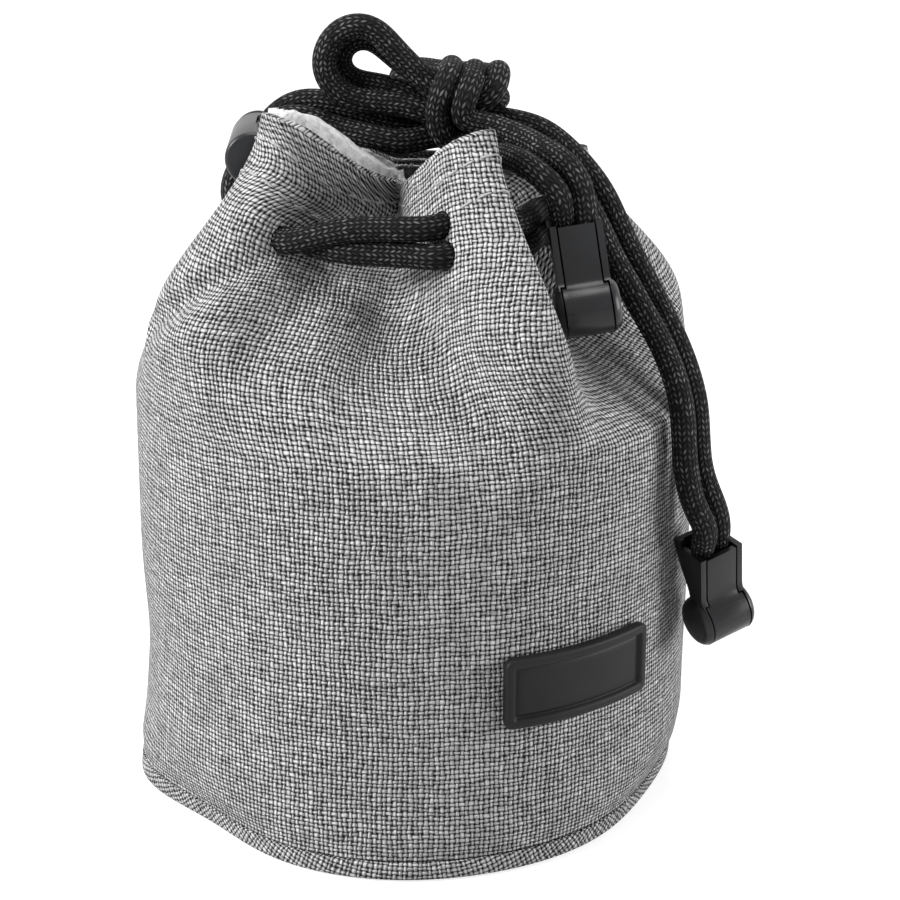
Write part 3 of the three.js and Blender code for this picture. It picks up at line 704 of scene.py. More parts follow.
def on_skin(angle, below):
    """Points of the outer skin at an angle, a distance below the rim."""
    share = 1 - below / (rim_height(angle) - SHOULDER)
    row = len(body_levels) - 1 + share * len(neck_levels)
    column = (angle - angles[0, 0]) * COLUMNS / 360
    i, j = np.floor(row).astype(int), np.floor(column).astype(int) % COLUMNS
    beside = (j + 1) % COLUMNS
    di, dj = row - i, column - np.floor(column)
    low = wall_radius[i, j] * (1 - dj) + wall_radius[i, beside] * dj
    high = wall_radius[i + 1, j] * (1 - dj) + wall_radius[i + 1, beside] * dj
    radius = low * (1 - di) + high * di
    return polar(angle, radius + STITCH["proud"], SHOULDER + share * (rim_height(angle) - SHOULDER))


def stitch_lines():
    """One short line for each stitch, apart from those that a cord would cover."""
    cords = np.vstack(list(ring_lines.values()))
    for below in STITCH["rows"]:
        sewn = np.linspace(BACK_SEAM + SEAM_CLEAR, BACK_SEAM + 360 - SEAM_CLEAR, ROW_SAMPLES)
        row = even(on_skin(sewn, below), ROW_STEP)
        along = lengths_along(row)
        for start in np.arange(0, along[-1] - STITCH["length"], STITCH["length"] + STITCH["gap"]):
            stops = np.linspace(start, start + STITCH["length"], len(STITCH_TAPER))
            line = np.stack([np.interp(stops, along, row[:, axis]) for axis in range(3)], 1)
            if np.linalg.norm(cords - line[len(line) // 2], axis=1).min() > CLEAR_OF_CORD:
                yield line


def threads(name, lines):
    """One mesh that holds a thin tapered tube for each line."""
    sides, rings = STITCH["sides"], len(STITCH_TAPER)
    grids = [tube_points(line, STITCH["radius"] * STITCH_TAPER, sides) for line in lines]
    faces = []
    for first in range(0, len(grids) * rings * sides, rings * sides):
        for ring in range(rings - 1):
            for k in range(sides):
                a, b = first + ring * sides + k, first + ring * sides + (k + 1) % sides
                faces.append([a, b, b + sides, a + sides])
        faces.append([first + k for k in range(sides)])
        faces.append([first + (rings - 1) * sides + k for k in range(sides)])
    return mesh_object(name, np.concatenate(grids).reshape(-1, 3), faces)


stitches = threads("hem_stitches", stitch_lines())
keep(stitches, "thread", "cloth", "pouch")
print("stitch faces:", len(stitches.data.polygons))

# %% [markdown]
# ## Lining, base and padding
# The lining follows the wall inside the foam and shows as a pale strip where it peeps over the rim. Hair
# particles would make plush, but only that strip is seen, so the pile is the wall's own grid with random
# fluff. The base, the foam and the plush floor are turned profiles, and the first two are pushed out of round
# by the same rules as the wall.

# %% Plush lining
LINING = dict(pile=2.2, behind_cloth=1.3, foam=2.3, foam_fade=12, bottom=5.5, mouth=3.0, back_mouth=3.6)
FLUFF = dict(pile=0.14, edge=0.18)
STRIP = dict(angle=-44, spread=20, proud=2.4, sunk=0.9, starts=0.96, thinner=0.6)
rng = np.random.default_rng(7)
fluff = rng.normal(0, FLUFF["pile"], wall_radius.shape)
foam_left = 1 - smoothstep(wall_height, SHOULDER, SHOULDER + LINING["foam_fade"])
lining_inset = LINING["behind_cloth"] + LINING["foam"] * foam_left
edge_fluff = rng.normal(0, FLUFF["edge"], angles.shape)
edge_lift = STRIP["proud"] * nearness(angles, STRIP) - STRIP["sunk"] + edge_fluff
near_edge = smoothstep(np.linspace(0, 1, len(wall_height))[:, None], STRIP["starts"], 1)
lining_height = np.maximum(wall_height, LINING["bottom"]) + edge_lift * near_edge
pile_depth = LINING["pile"] * (1 - STRIP["thinner"] * near_edge)
pile_radius = wall_radius - (lining_inset + pile_depth) * stretch + fluff
back_radius = wall_radius - lining_inset * stretch
pile = surface(np.maximum(pile_radius, LINING["mouth"]), lining_height)
back = surface(np.maximum(back_radius, LINING["back_mouth"]), lining_height)
lining_wall = shell("lining_plush", back, pile)
keep(lining_wall, "plush", "plush", "pouch", "lining_wall")
print("lining faces:", len(lining_wall.data.polygons))

# %% Base with a rolled edge
OUT_OF_ROUND = (20, 47)


def turned(name, profile, sides, shape=None):
    """A profile of radius and height turned about z. Its outer part can be pushed out of round."""
    profile = np.asarray(profile, float)
    turn = np.linspace(-180, 180, sides, endpoint=False)[None, :]
    radius = profile[:, :1] + 0 * turn
    height = profile[:, 1:] + 0 * turn
    if shape is not None:
        radius = radius + shape(turn, height) * smoothstep(radius, *OUT_OF_ROUND)
    spread = lengths_along(profile)[:, None] + 0 * turn
    flat = polar(turn, spread, 0)[..., :2]
    return lattice(name, polar(turn, radius, height), np.concatenate([flat, flat[:, :1]], 1))


def arc(centre, radius, start, stop, count=10):
    angle = np.radians(np.linspace(start, stop, count))
    return np.c_[centre[0] + radius * np.cos(angle), centre[1] + radius * np.sin(angle)]


ROLL = dict(radius=49.3, turn=1.2, bent=85, bend_points=9, upright_points=4)
BASE_SIDES = 256


def rolled_edge(inset):
    """The base's edge: a tight turn up from the floor, then nearly upright to the seam."""
    turn = ROLL["turn"]
    bend = np.radians(np.linspace(0, ROLL["bent"], ROLL["bend_points"]))
    upright = np.linspace(turn, SEAM, ROLL["upright_points"])[1:]
    curve = np.c_[ROLL["radius"] + turn * np.sin(bend), turn * (1 - np.cos(bend))]
    edge = np.vstack([curve, np.c_[ROLL["radius"] + turn + 0 * upright, upright]])
    return edge - [inset, 0]


roll_outer = rolled_edge(0)
roll_inner = np.maximum(rolled_edge(CLOTH), [0, CLOTH])[::-1]
flat_outer = [(0, 0), (15, 0), (30, 0), (42, 0)]
base_profile = np.vstack([flat_outer, roll_outer, roll_inner, [(30, CLOTH), (0, CLOTH)]])
outer_base = turned("outer_base_cloth", base_profile, BASE_SIDES, stood)
keep(outer_base, "cloth", "cloth", "pouch", "outer_base")
print("base faces:", len(outer_base.data.polygons))

# %% Foam padding
PAD = dict(inner=47.7, outer=49.7, bottom=3.9, top=72, straight=(5, 70), rows=40)
PAD_EDGE = dict(bottom=0.4, top_outer=0.5, top_inner=0.3)
pad_bottom = [(PAD["inner"], PAD["bottom"]), (PAD["outer"] - PAD_EDGE["bottom"], PAD["bottom"])]
top_radii = (PAD["outer"] - PAD_EDGE["top_outer"], PAD["inner"] + PAD_EDGE["top_inner"])
pad_top = [(radius, PAD["top"]) for radius in top_radii]
levels = np.linspace(*PAD["straight"], PAD["rows"])
pad_outer = np.c_[np.full(PAD["rows"], PAD["outer"]), levels]
pad_inner = np.c_[np.full(PAD["rows"], PAD["inner"]), levels[::-1]]
pad_profile = np.vstack([pad_bottom, pad_outer, pad_top, pad_inner, pad_bottom[:1]])
padding = turned("wall_foam", pad_profile, BASE_SIDES, given_way)
keep(padding, "foam", "foam", "pouch", "wall_padding")
print("padding faces:", len(padding.data.polygons))

# %% Plush floor
FLOOR_SIDES = 128
floor_profile = [(0, 3.2), (45.9, 3.2), (46.2, 4.2), (45.6, 5.2), (30, 5.3), (0, 5.3)]
plush_floor = turned("lining_floor_plush", floor_profile, FLOOR_SIDES)
keep(plush_floor, "plush", "plush", "pouch", "lining_base")
print("plush floor faces:", len(plush_floor.data.polygons))

# %% [markdown]
# ## Rubber patch
# A moulded patch with a raised border is sewn to the lower front. A bevelled box would be flat, so it is
# drawn as nested outlines instead, from its edge inwards, each lifted to the height that the border or the
# field has there, and bent round the body.

# %% Patch with a raised border
PATCH = dict(angle=34, width=30, bottom=28.5, height=13, corner=1.6, least_corner=0.15, most_corner=0.98)
PATCH_RADIUS = BODY_RADIUS + FIT
OUTLINE_POINTS = 160


def rounded_outline(inset):
    """The patch's outline drawn in by an inset, as evenly spaced points."""
    half_w, half_h = PATCH["width"] / 2 - inset, PATCH["height"] / 2 - inset
    corner = min(max(PATCH["corner"] - inset, PATCH["least_corner"]), half_h * PATCH["most_corner"])
    points = []
    for sx, sy, start in ((1, 1, 0), (-1, 1, 90), (-1, -1, 180), (1, -1, 270)):
        centre = (sx * (half_w - corner), sy * (half_h - corner))
        points.append(arc(centre, corner, start, start + 90, 8))
    loop = np.vstack(points + [points[0][:1]])
    along = lengths_along(np.c_[loop, np.zeros(len(loop))])
    stops = np.linspace(0, along[-1], OUTLINE_POINTS, endpoint=False)
    return np.stack([np.interp(stops, along, loop[:, k]) for k in (0, 1)], 1)


def on_body(flat, lift):
    radius = PATCH_RADIUS + lift
    angle = PATCH["angle"] + np.degrees(flat[:, 0] / PATCH_RADIUS)
    return polar(angle, radius, PATCH["bottom"] + PATCH["height"] / 2 + flat[:, 1])


PATCH_STEPS = [
    (3, 0), (0.1, 0), (0, 0.15), (0, 1.3), (0.12, 1.6), (0.35, 1.78), (0.7, 1.8), (1.35, 1.8), (1.6, 1.7),
    (1.8, 1.35), (1.92, 1.05), (2.1, 0.95), (2.3, 1.1), (2.6, 1.2), (3.5, 1.22), (4.8, 1.24), (5.8, 1.25),
]


def spine(loop):
    """The middle line that an outline closes on."""
    reach = (PATCH["width"] - PATCH["height"]) / 2
    return np.c_[np.clip(loop[:, 0], -reach, reach), np.zeros(len(loop))]


loops = [rounded_outline(inset) for inset, _ in PATCH_STEPS]
lifts = [lift for _, lift in PATCH_STEPS]
loops = [spine(loops[0]), *loops, spine(loops[-1])]
lifts = [lifts[0], *lifts, lifts[-1]]
patch_points = np.stack([on_body(loop, lift) for loop, lift in zip(loops, lifts)])
patch_uv = np.stack([np.vstack([loop, loop[:1]]) for loop in loops])
patch = lattice("label_patch_rubber", patch_points, patch_uv)
keep(patch, "rubber", "patch", "pouch", "label_patch")
print("patch faces:", len(patch.data.polygons))

# %% [markdown]
# ## Cord clips
# Each pair of cord ends is gripped in a small bell-shaped clip: a body with two cheeks and a lid that is
# hinged at its foot. It could be box-modelled, but here its outline is drawn from the side and pushed out to
# a width, and boolean cuts open the room for cord and lid, so every wall keeps its thickness. A bevel on
# every edge is what makes it look moulded.


# %% Solids for moulded pieces
ROUND_SIDES = 64
BAR_SIDES = 72
BEVEL_ANGLE = math.radians(32)
SHARP_ANGLE = math.radians(42)


def prism(name, outline, width, axis=0):
    """An outline pushed out to a width along one axis, half to each side."""
    outline = np.asarray(outline, float)
    count = len(outline)
    ends = [np.insert(outline, axis, side * width / 2, axis=1) for side in (-1, 1)]
    faces = [[i, (i + 1) % count, count + (i + 1) % count, count + i] for i in range(count)]
    faces += [list(range(count))[::-1], list(range(count, 2 * count))]
    return mesh_object(name, np.vstack(ends), faces)


def bar(name, radius, width, centre=(0, 0)):
    return prism(name, arc(centre, radius, 0, 360, BAR_SIDES + 1)[:-1], width)


def spun(name, profile, axis, caps=False):
    """A profile of radius and place along the axis, turned about x or y."""
    profile = np.asarray(profile, float)
    turn = np.linspace(0, 2 * np.pi, ROUND_SIDES, endpoint=False)
    points = [profile[:, :1] * np.cos(turn), profile[:, :1] * np.sin(turn)]
    points.insert(axis, profile[:, 1:] + 0 * turn)
    return lattice(name, np.stack(points, -1), np.zeros((len(profile), ROUND_SIDES + 1, 2)), caps=caps)


def bezier(a, b, c, d, count=14):
    t = np.linspace(0, 1, count)[:, None]
    points = [np.array(p, float) for p in (a, b, c, d)]
    shares = ((1 - t) ** 3, 3 * t * (1 - t) ** 2, 3 * t**2 * (1 - t), t**3)
    return sum(share * point for share, point in zip(shares, points))


def moulded(obj, fitting, edge):
    """Rounds a piece's edges and brings it from its own axes to its place."""
    settings = dict(width=edge * MM, segments=3, limit_method="ANGLE", angle_limit=BEVEL_ANGLE)
    shaped(obj, ("BEVEL", settings))
    obj.data.shade_smooth()
    obj.data.set_sharp_from_angle(angle=SHARP_ANGLE)
    matrix = placing(fitting)
    matrix.translation *= MM
    obj.data.transform(matrix)
    return obj


# %% Clip bodies and lids
BELL = 4.7
BELL_WIDTH = 11.2
DISC = 1.4
NECK_WIDTH = 9
NECK_TOP = 14.4
NECK_FRONT = -3.4
NECK_BACK = 4.6
NECK_WAIST = 1.6
HOLLOW = dict(start=(0.9, 11), pull=(2, 7.5), bend=7)
LIP = 1.4
WALL = 1.1
HINGE = dict(y=-1.1, z=-3.3, pin=0.55, socket=0.9)
LID_RADIUS = BELL - FIT / 2
LID_FOOT = HINGE["y"] + FIT
FOOT_REACH = math.hypot(FIT, -math.sqrt(LID_RADIUS**2 - LID_FOOT**2) - HINGE["z"])
GAP = BELL_WIDTH - 2 * DISC
INSIDE = NECK_WIDTH - 2 * WALL
FAR = 40
WAIST_FRONT = -2.1
WAIST_LEVEL = 5.9
BELL_ROUND = 2.0
FLOW_ANGLE = 132
FLOW_PULL = (1.1, 1.2)
COVER_ANGLE = FLOW_ANGLE + 2
SWELL_ANGLE = 122
CLIP_EDGE = dict(body=0.3, lid=0.25, ends=0.1)
LID_SHOULDER = LID_RADIUS * math.sin(math.radians(SWELL_ANGLE))


def bell_bar(name):
    """The bell: a bar along x with rounded ends."""
    bend = np.linspace(0, np.pi / 2, 8)
    radius = BELL - BELL_ROUND * (1 - np.cos(bend))
    end = np.c_[radius, BELL_WIDTH / 2 - BELL_ROUND + BELL_ROUND * np.sin(bend)]
    return spun(name, np.vstack([(end * (1, -1))[::-1], end]), axis=0, caps=True)


def hollow_back(inset=0):
    """The back line of a clip, from its mouth in to the waist."""
    back, waist = NECK_BACK - inset, NECK_WAIST - inset
    start, pull = [(back - depth, level) for depth, level in (HOLLOW["start"], HOLLOW["pull"])]
    return bezier(start, pull, (waist, HOLLOW["bend"]), (waist, BELL - WALL))


def flowing(radius, inset=0):
    """The front line of a clip from its thin waist out again over the bell."""
    angle = math.radians(FLOW_ANGLE)
    foot = radius * np.array([math.cos(angle), math.sin(angle)])
    along = np.array([-math.sin(angle), math.cos(angle)])
    waist = np.array([WAIST_FRONT + inset, WAIST_LEVEL])
    down = unit(waist - [NECK_FRONT + inset, NECK_TOP])
    return bezier(waist, waist + FLOW_PULL[0] * down, foot - FLOW_PULL[1] * along, foot)


def clip_body(name):
    lip = NECK_BACK - 1.5 * WALL
    side = [
        (lip, NECK_TOP), (lip, NECK_TOP + LIP), (NECK_BACK, NECK_TOP + LIP), (NECK_BACK, NECK_TOP),
        *hollow_back(), (NECK_WAIST, 0), (0, 0), *flowing(BELL)[::-1], (NECK_FRONT, NECK_TOP),
    ]
    body = join(prism(name, side, NECK_WIDTH), bell_bar("bell"))
    back = NECK_BACK - WALL
    neck = [(-FAR, 0), (-FAR, FAR), (back, FAR), (back, NECK_TOP), *hollow_back(WALL), (NECK_WAIST - WALL, 0)]
    room = prism("neck_room", neck, INSIDE)
    bell_room = bar("bell_room", BELL - WALL, GAP)
    foot, shoulder = HINGE["y"] + FOOT_REACH + FIT, LID_SHOULDER + FIT
    lid_room = prism("lid_room", [(-FAR, -FAR), (foot, -FAR), (foot, shoulder), (-FAR, shoulder)], GAP)
    sockets = bar("sockets", HINGE["pin"] + FIT, GAP + 2 * HINGE["socket"], (HINGE["y"], HINGE["z"]))
    return cut(body, room, bell_room, lid_room, sockets)


def clip_lid(name):
    stop = 360 - math.degrees(math.acos(LID_FOOT / LID_RADIUS))
    cover = np.vstack([
        [(NECK_FRONT, NECK_TOP - FIT)], flowing(LID_RADIUS),
        arc((0, 0), LID_RADIUS, COVER_ANGLE, stop, 34), arc((0, 0), LID_RADIUS - WALL, stop, COVER_ANGLE, 34),
        flowing(LID_RADIUS - WALL, WALL)[::-1], [(NECK_FRONT + WALL, NECK_TOP - FIT)],
    ])
    lid = prism(name, cover, INSIDE - 2 * FIT)
    swell = np.vstack([
        arc((0, 0), LID_RADIUS, SWELL_ANGLE, stop, 40), arc((0, 0), LID_RADIUS - WALL, stop, SWELL_ANGLE, 40),
    ])
    pin = bar("pin", HINGE["pin"], GAP + 2 * (HINGE["socket"] - FIT), (HINGE["y"], HINGE["z"]))
    return join(lid, prism("swell", swell, GAP - 2 * FIT), pin)


ENDS = dict(
    levels=(-1.85, -1.6, -1, 0, 1, 1.9, 2.6, 4, 6, 8, 8.8, 9.1),
    half_width=(0.2, 0.9, 1.6, 1.9, 1.7, 1.7, 2.2, 2.5, 2.7, 2.8, 2.6, 2),
    half_depth=(0.2, 0.9, 1.6, 1.9, 1.6, 1.1, 0.7, 0.55, 0.55, 1, 1.1, 0.8),
    middle=(0, 0, 0, 0, -0.1, -0.4, -0.3, -0.15, -0.15, -0.2, -0.2, -0.2),
)
ENDS_SIDES = 28


def pressed_ends(name):
    """The two cord ends pressed flat in the neck, down to their stop knot in the bell."""
    level, half_width, half_depth, middle = (np.array(row, float)[:, None] for row in ENDS.values())
    turn = np.linspace(0, 2 * np.pi, ENDS_SIDES, endpoint=False)
    rings = [half_width * np.cos(turn), middle + half_depth * np.sin(turn), level + 0 * turn]
    uv = np.stack(np.meshgrid(ENDS["levels"], np.linspace(0, 1, ENDS_SIDES + 1), indexing="ij"), -1)
    return lattice(name, np.stack(rings, -1), uv, caps=True)


for name, fitting in CLIPS.items():
    body = moulded(clip_body(f"{name}_shell"), fitting, CLIP_EDGE["body"])
    keep(body, "plastic", "clip", "pouch", f"{name}_body")
    lid = moulded(clip_lid(f"{name}_cover"), fitting, CLIP_EDGE["lid"])
    keep(lid, "plastic", "clip", fitting["body"], f"{name}_lid")
    ends = moulded(pressed_ends(f"{name}_pressed_ends"), fitting, CLIP_EDGE["ends"])
    keep(ends, "cord", "cord", "pouch", f"{name}_cord_ends")
    print(name, "faces:", len(body.data.polygons), len(lid.data.polygons))

# %% [markdown]
# ## Cord locks
# Behind the mouth each cord passes a small barrel lock, whose sprung button grips both strands. Cylinders
# would do for it, but a turned profile gives barrel and button their rounded rims at once, and one boolean
# cuts the cross hole through each of them. The spring is a tube along a helix.

# %% Locks
STRAND_PITCH = 4.75
LOCK = dict(barrel=4.8, bore=3.9, end_wall=1.2, rim=1.0, edge=0.8, travel=2, wall=1.4, cap=4.5, cap_depth=1.6)
LOCK_EDGE = 0.2
THROUGH = 24
SPRING = dict(room=3.8, wire=0.3, radius=2.4, turns=2, steps=24, sides=10)
SLOT_HALF = STRAND_PITCH / 2 + CORD_RADIUS + FIT
BUTTON_END = -SLOT_HALF - LOCK["wall"]
BARREL_END = BUTTON_END - SPRING["room"]
CAP_START = SLOT_HALF + LOCK["travel"] + LOCK["wall"]


def cross_hole(room):
    """The way of both strands through a lock. The button's is longer by its travel."""
    radius = CORD_RADIUS + FIT
    half = STRAND_PITCH / 2
    outline = np.vstack([arc((0, half + room), radius, 0, 180, 20), arc((0, -half), radius, 180, 360, 20)])
    return prism("cross_hole", outline, THROUGH, axis=2)


def lock_barrel(name):
    mouth = min(SLOT_HALF + LOCK["rim"], CAP_START - LOCK["travel"] - FIT)
    end = BARREL_END - LOCK["end_wall"]
    barrel, bore, edge = LOCK["barrel"], LOCK["bore"], LOCK["edge"]
    round_edge = arc((barrel - edge, end + edge), edge, -90, 0, 6)
    profile = [(0, end), *round_edge, (barrel, mouth), (bore, mouth), (bore, BARREL_END), (0, BARREL_END)]
    return cut(spun(name, profile, axis=1), cross_hole(0))


def lock_button(name):
    radius, cap, edge = LOCK["bore"] - FIT, LOCK["cap"], LOCK["edge"]
    end = CAP_START + LOCK["cap_depth"]
    round_edge = arc((cap - edge, end - edge), edge, 0, 90, 6)
    stem = [(0, BUTTON_END), (radius, BUTTON_END), (radius, CAP_START)]
    profile = [*stem, (cap, CAP_START), *round_edge, (0, end)]
    return cut(spun(name, profile, axis=1), cross_hole(LOCK["travel"]))


def lock_spring(name, fitting):
    low = BARREL_END + FIT + SPRING["wire"]
    high = BUTTON_END - FIT - SPRING["wire"]
    turns = np.linspace(0, SPRING["turns"], SPRING["turns"] * SPRING["steps"] + 1)
    angle = 2 * np.pi * turns
    climb = low + (high - low) * turns / SPRING["turns"]
    coil = np.c_[SPRING["radius"] * np.cos(angle), climb, SPRING["radius"] * np.sin(angle)]
    return tube(name, placed(fitting, coil), SPRING["wire"], SPRING["sides"])


for name, fitting in LOCKS.items():
    barrel = moulded(lock_barrel(f"{name}_case"), fitting, LOCK_EDGE)
    keep(barrel, "plastic", "clip", "pouch", f"{name}_barrel")
    button = moulded(lock_button(f"{name}_button"), fitting, LOCK_EDGE)
    keep(button, "plastic", "clip", fitting["body"], f"{name}_plunger")
    spring = lock_spring(f"{name}_coil", fitting)
    keep(spring, "wire", "spring", "pouch", f"{name}_spring")
    print(name, "faces:", len(barrel.data.polygons), len(button.data.polygons))

# %% [markdown]
# ## Finishes
# A shader is a small formula over the surface, usually drawn as a web of nodes by hand. The class below wraps
# a socket instead, so that a formula can be written as plain Python: `1 - mask` adds a Math node. Any other
# node comes from `node`, which sets its options first and then fills its sockets with numbers or links.


# %% Shader maths
class Field:
    def __init__(self, finish, socket):
        self.finish = finish
        self.socket = socket

    def math(self, operation, *others):
        values = dict(enumerate((self, *others)))
        return self.finish.node("Math", dict(operation=operation), values)

    def __add__(self, other):
        return self.math("ADD", other)

    def __sub__(self, other):
        return self.math("SUBTRACT", other)

    def __mul__(self, other):
        return self.math("MULTIPLY", other)

    def __truediv__(self, other):
        return self.math("DIVIDE", other)

    def __pow__(self, other):
        return self.math("POWER", other)

    def __rsub__(self, other):
        return self.finish.node("Math", dict(operation="SUBTRACT"), {0: other, 1: self})

    __radd__ = __add__
    __rmul__ = __mul__


class Finish:
    def __init__(self, name, **constants):
        self.material = bpy.data.materials.new(name)
        self.material.use_nodes = True
        self.tree = self.material.node_tree
        self.shader = self.tree.nodes["Principled BSDF"]
        self.feed(**constants)

    def node(self, kind, settings=None, values=None, output=0):
        node = self.tree.nodes.new(f"ShaderNode{kind}")
        for key, value in (settings or {}).items():
            if key == "stops":
                ramp = node.color_ramp
                for i, (position, tone) in enumerate(value):
                    stop = ramp.elements[i] if i < len(ramp.elements) else ramp.elements.new(position)
                    stop.position = position
                    stop.color = (*colour(tone), 1)
            else:
                setattr(node, key, value)
        for key, value in (values or {}).items():
            self.fill(node.inputs[key], value)
        return Field(self, node.outputs[output])

    def fill(self, socket, value):
        if isinstance(value, Field):
            self.tree.links.new(value.socket, socket)
        else:
            socket.default_value = value

    def feed(self, **fields):
        for name, value in fields.items():
            socket = name.replace("_", " ").title().replace("Ior", "IOR")
            self.fill(self.shader.inputs[socket], value)

    def uv(self):
        place = self.node("UVMap")
        return [self.node("SeparateXYZ", {}, {0: place}, i) for i in (0, 1)]

    def vector(self, x, y, z=0.0):
        return self.node("CombineXYZ", {}, {0: x, 1: y, 2: z})

    def noise(self, vector, scale=1.0, detail=2.0):
        return self.node("TexNoise", {}, {"Vector": vector, "Scale": scale, "Detail": detail})

    def ramp(self, value, *stops):
        return self.node("ValToRGB", dict(stops=stops), {0: value})

    def mix(self, share, a, b):
        return self.node("Mix", dict(data_type="RGBA"), {0: share, 6: a, 7: b}, 2)

    def bump(self, height, distance, strength=1.0):
        return self.node("Bump", {}, {"Height": height, "Distance": distance * MM, "Strength": strength})


def colour(tone):
    """A colour as it is, or a grey from one number."""
    return tone if isinstance(tone, tuple) else (tone, tone, tone)


# %% Woven melange cloth
THREAD = 0.88
DRIFT = dict(reach=1.3, scale=0.07)
SLUB = dict(reach=0.9, across=0.8, along=0.22)
YARN = dict(roundness=2.2, level=0.62, wave=0.38)
TONE = dict(change=7.3, along=0.11, share=0.45)
FIBRE = dict(across=5.2, along=1.1, share=0.55)
# Near black: a painted shade for the gaps of the weave.
PAINTED_GAP_SHADE = (0.006, 0.006, 0.007, 1)


def cloth_finish():
    cloth = Finish("melange_cloth", roughness=0.95, specular_ior_level=0.1)
    cloth.feed(sheen_weight=0.05, sheen_roughness=0.5)
    u, v = cloth.uv()

    def vary(x, y, layer=0.0, detail=2.0):
        """Noise over the cloth. A layer of its own keeps one use from repeating another."""
        return cloth.noise(cloth.vector(x, y, layer), 1.0, detail)

    def yarn_height(across, along, shift):
        away = (across.math("FRACT") * 2 - 1).math("ABSOLUTE")
        wave = ((along + shift + across.math("FLOOR")) * math.pi).math("COSINE")
        return (1 - away ** YARN["roundness"]) * (YARN["level"] + YARN["wave"] * wave)

    slow_u, slow_v = u * DRIFT["scale"], v * DRIFT["scale"]
    x = u / THREAD + DRIFT["reach"] * vary(slow_u, slow_v)
    y = v / THREAD + DRIFT["reach"] * vary(slow_u, slow_v, 9.0)
    x = x + SLUB["reach"] * vary(x * SLUB["across"], y * SLUB["along"], 3.0, 1.0)
    y = y + SLUB["reach"] * vary(x * SLUB["along"], y * SLUB["across"], 6.0, 1.0)
    warp, weft = yarn_height(x, y, -0.5), yarn_height(y, x, 0.5)
    height = warp.math("MAXIMUM", weft)
    warp_is_over = warp.math("GREATER_THAN", weft)

    def upper(of_warp, of_weft):
        """What the thread on top shows."""
        return of_weft + (of_warp - of_weft) * warp_is_over

    warp_tone = vary(x.math("FLOOR") * TONE["change"], y * TONE["along"])
    weft_tone = vary(x * TONE["along"], y.math("FLOOR") * TONE["change"] + 40.0)
    warp_fibre = vary(x * FIBRE["across"], y * FIBRE["along"], 0.0, 4.0)
    weft_fibre = vary(x * FIBRE["along"], y * FIBRE["across"], 5.0, 4.0)
    tone = upper(warp_tone, weft_tone) * TONE["share"] + upper(warp_fibre, weft_fibre) * FIBRE["share"]
    thread = cloth.ramp(tone, (0.3, 0.24), (0.44, 0.5), (0.56, 0.74), (0.7, 1.0))
    # Painted shade: where a yarn dips, its colour runs towards near black, so only its crown keeps the
    # thread's tone.
    painted_light_share = cloth.node("MapRange", dict(interpolation_type="SMOOTHSTEP"), {0: height, 1: 0.3, 2: 1.0})
    cloth.feed(base_color=cloth.mix(painted_light_share, PAINTED_GAP_SHADE, thread), normal=cloth.bump(height, 0.6, 0.8))
    return cloth


# %% Braided cord
BRAID = dict(lanes=18, stitch=1.05, slant=0.75)


def cord_finish():
    cord = Finish("braided_cord", roughness=0.6, specular_ior_level=0.08)
    along, around = cord.uv()
    lane = around * BRAID["lanes"]
    side = lane.math("FLOOR").math("PINGPONG", 1.0) * 2 - 1
    across = lane.math("FRACT") - 0.5
    strand = along / BRAID["stitch"] + across * side * BRAID["slant"]
    bead = strand.math("FRACT") * 2 - 1
    bead_bump_and_glint = (1 - bead * bead) * (1 - (across * 2) ** 2.0)
    pick = cord.noise(cord.vector(strand.math("FLOOR"), lane.math("FLOOR")), 1.7, 1.0)
    # The colour is partly painted light: each bead's crown is painted pale as a glint and the grooves between
    # beads are painted near black as shade, varied by a random pick per bead.
    base = cord.ramp(bead_bump_and_glint * pick, (0.05, 0.003), (0.34, 0.015), (0.62, 0.17))
    cord.feed(base_color=base, normal=cord.bump(bead_bump_and_glint, 0.3, 0.7))
    return cord


# %% Plush, plastic, rubber, foam, board and wire
def plush_finish():
    plush = Finish("white_plush", roughness=1.0, sheen_weight=0.4, sheen_roughness=0.6)
    place = plush.node("TexCoord", {}, {}, "Object")
    tuft = plush.noise(place, 700.0, 3.0)
    lock = plush.noise(place, 180.0, 2.0)
    plush.feed(base_color=plush.ramp(tuft * 0.6 + lock * 0.4, (0.3, 0.42), (0.5, 0.7), (0.65, 0.86)))
    plush.feed(normal=plush.bump(tuft + lock, 0.9, 0.8))
    return plush


def moulding_finish(name, dark, light, cloud, grain, rough, dents, specular):
    """Dark moulded stuff: clouds of tone and gloss, and a fine grain."""
    moulding = Finish(name, specular_ior_level=specular)
    place = moulding.node("TexCoord", {}, {}, "Object")
    clouds = moulding.noise(place, cloud, 3.0)
    moulding.feed(base_color=moulding.ramp(clouds, (0.3, dark), (0.7, light)))
    moulding.feed(roughness=rough[0] + rough[1] * clouds)
    moulding.feed(normal=moulding.bump(moulding.noise(place, *grain), *dents))
    return moulding


def plain_finish(name, low, high, scale, **constants):
    finish = Finish(name, **constants)
    place = finish.node("TexCoord", {}, {}, "Object")
    grain = finish.noise(place, scale, 3.0)
    finish.feed(base_color=finish.ramp(grain, (0.3, low), (0.7, high)), normal=finish.bump(grain, 0.05, 0.5))
    return finish


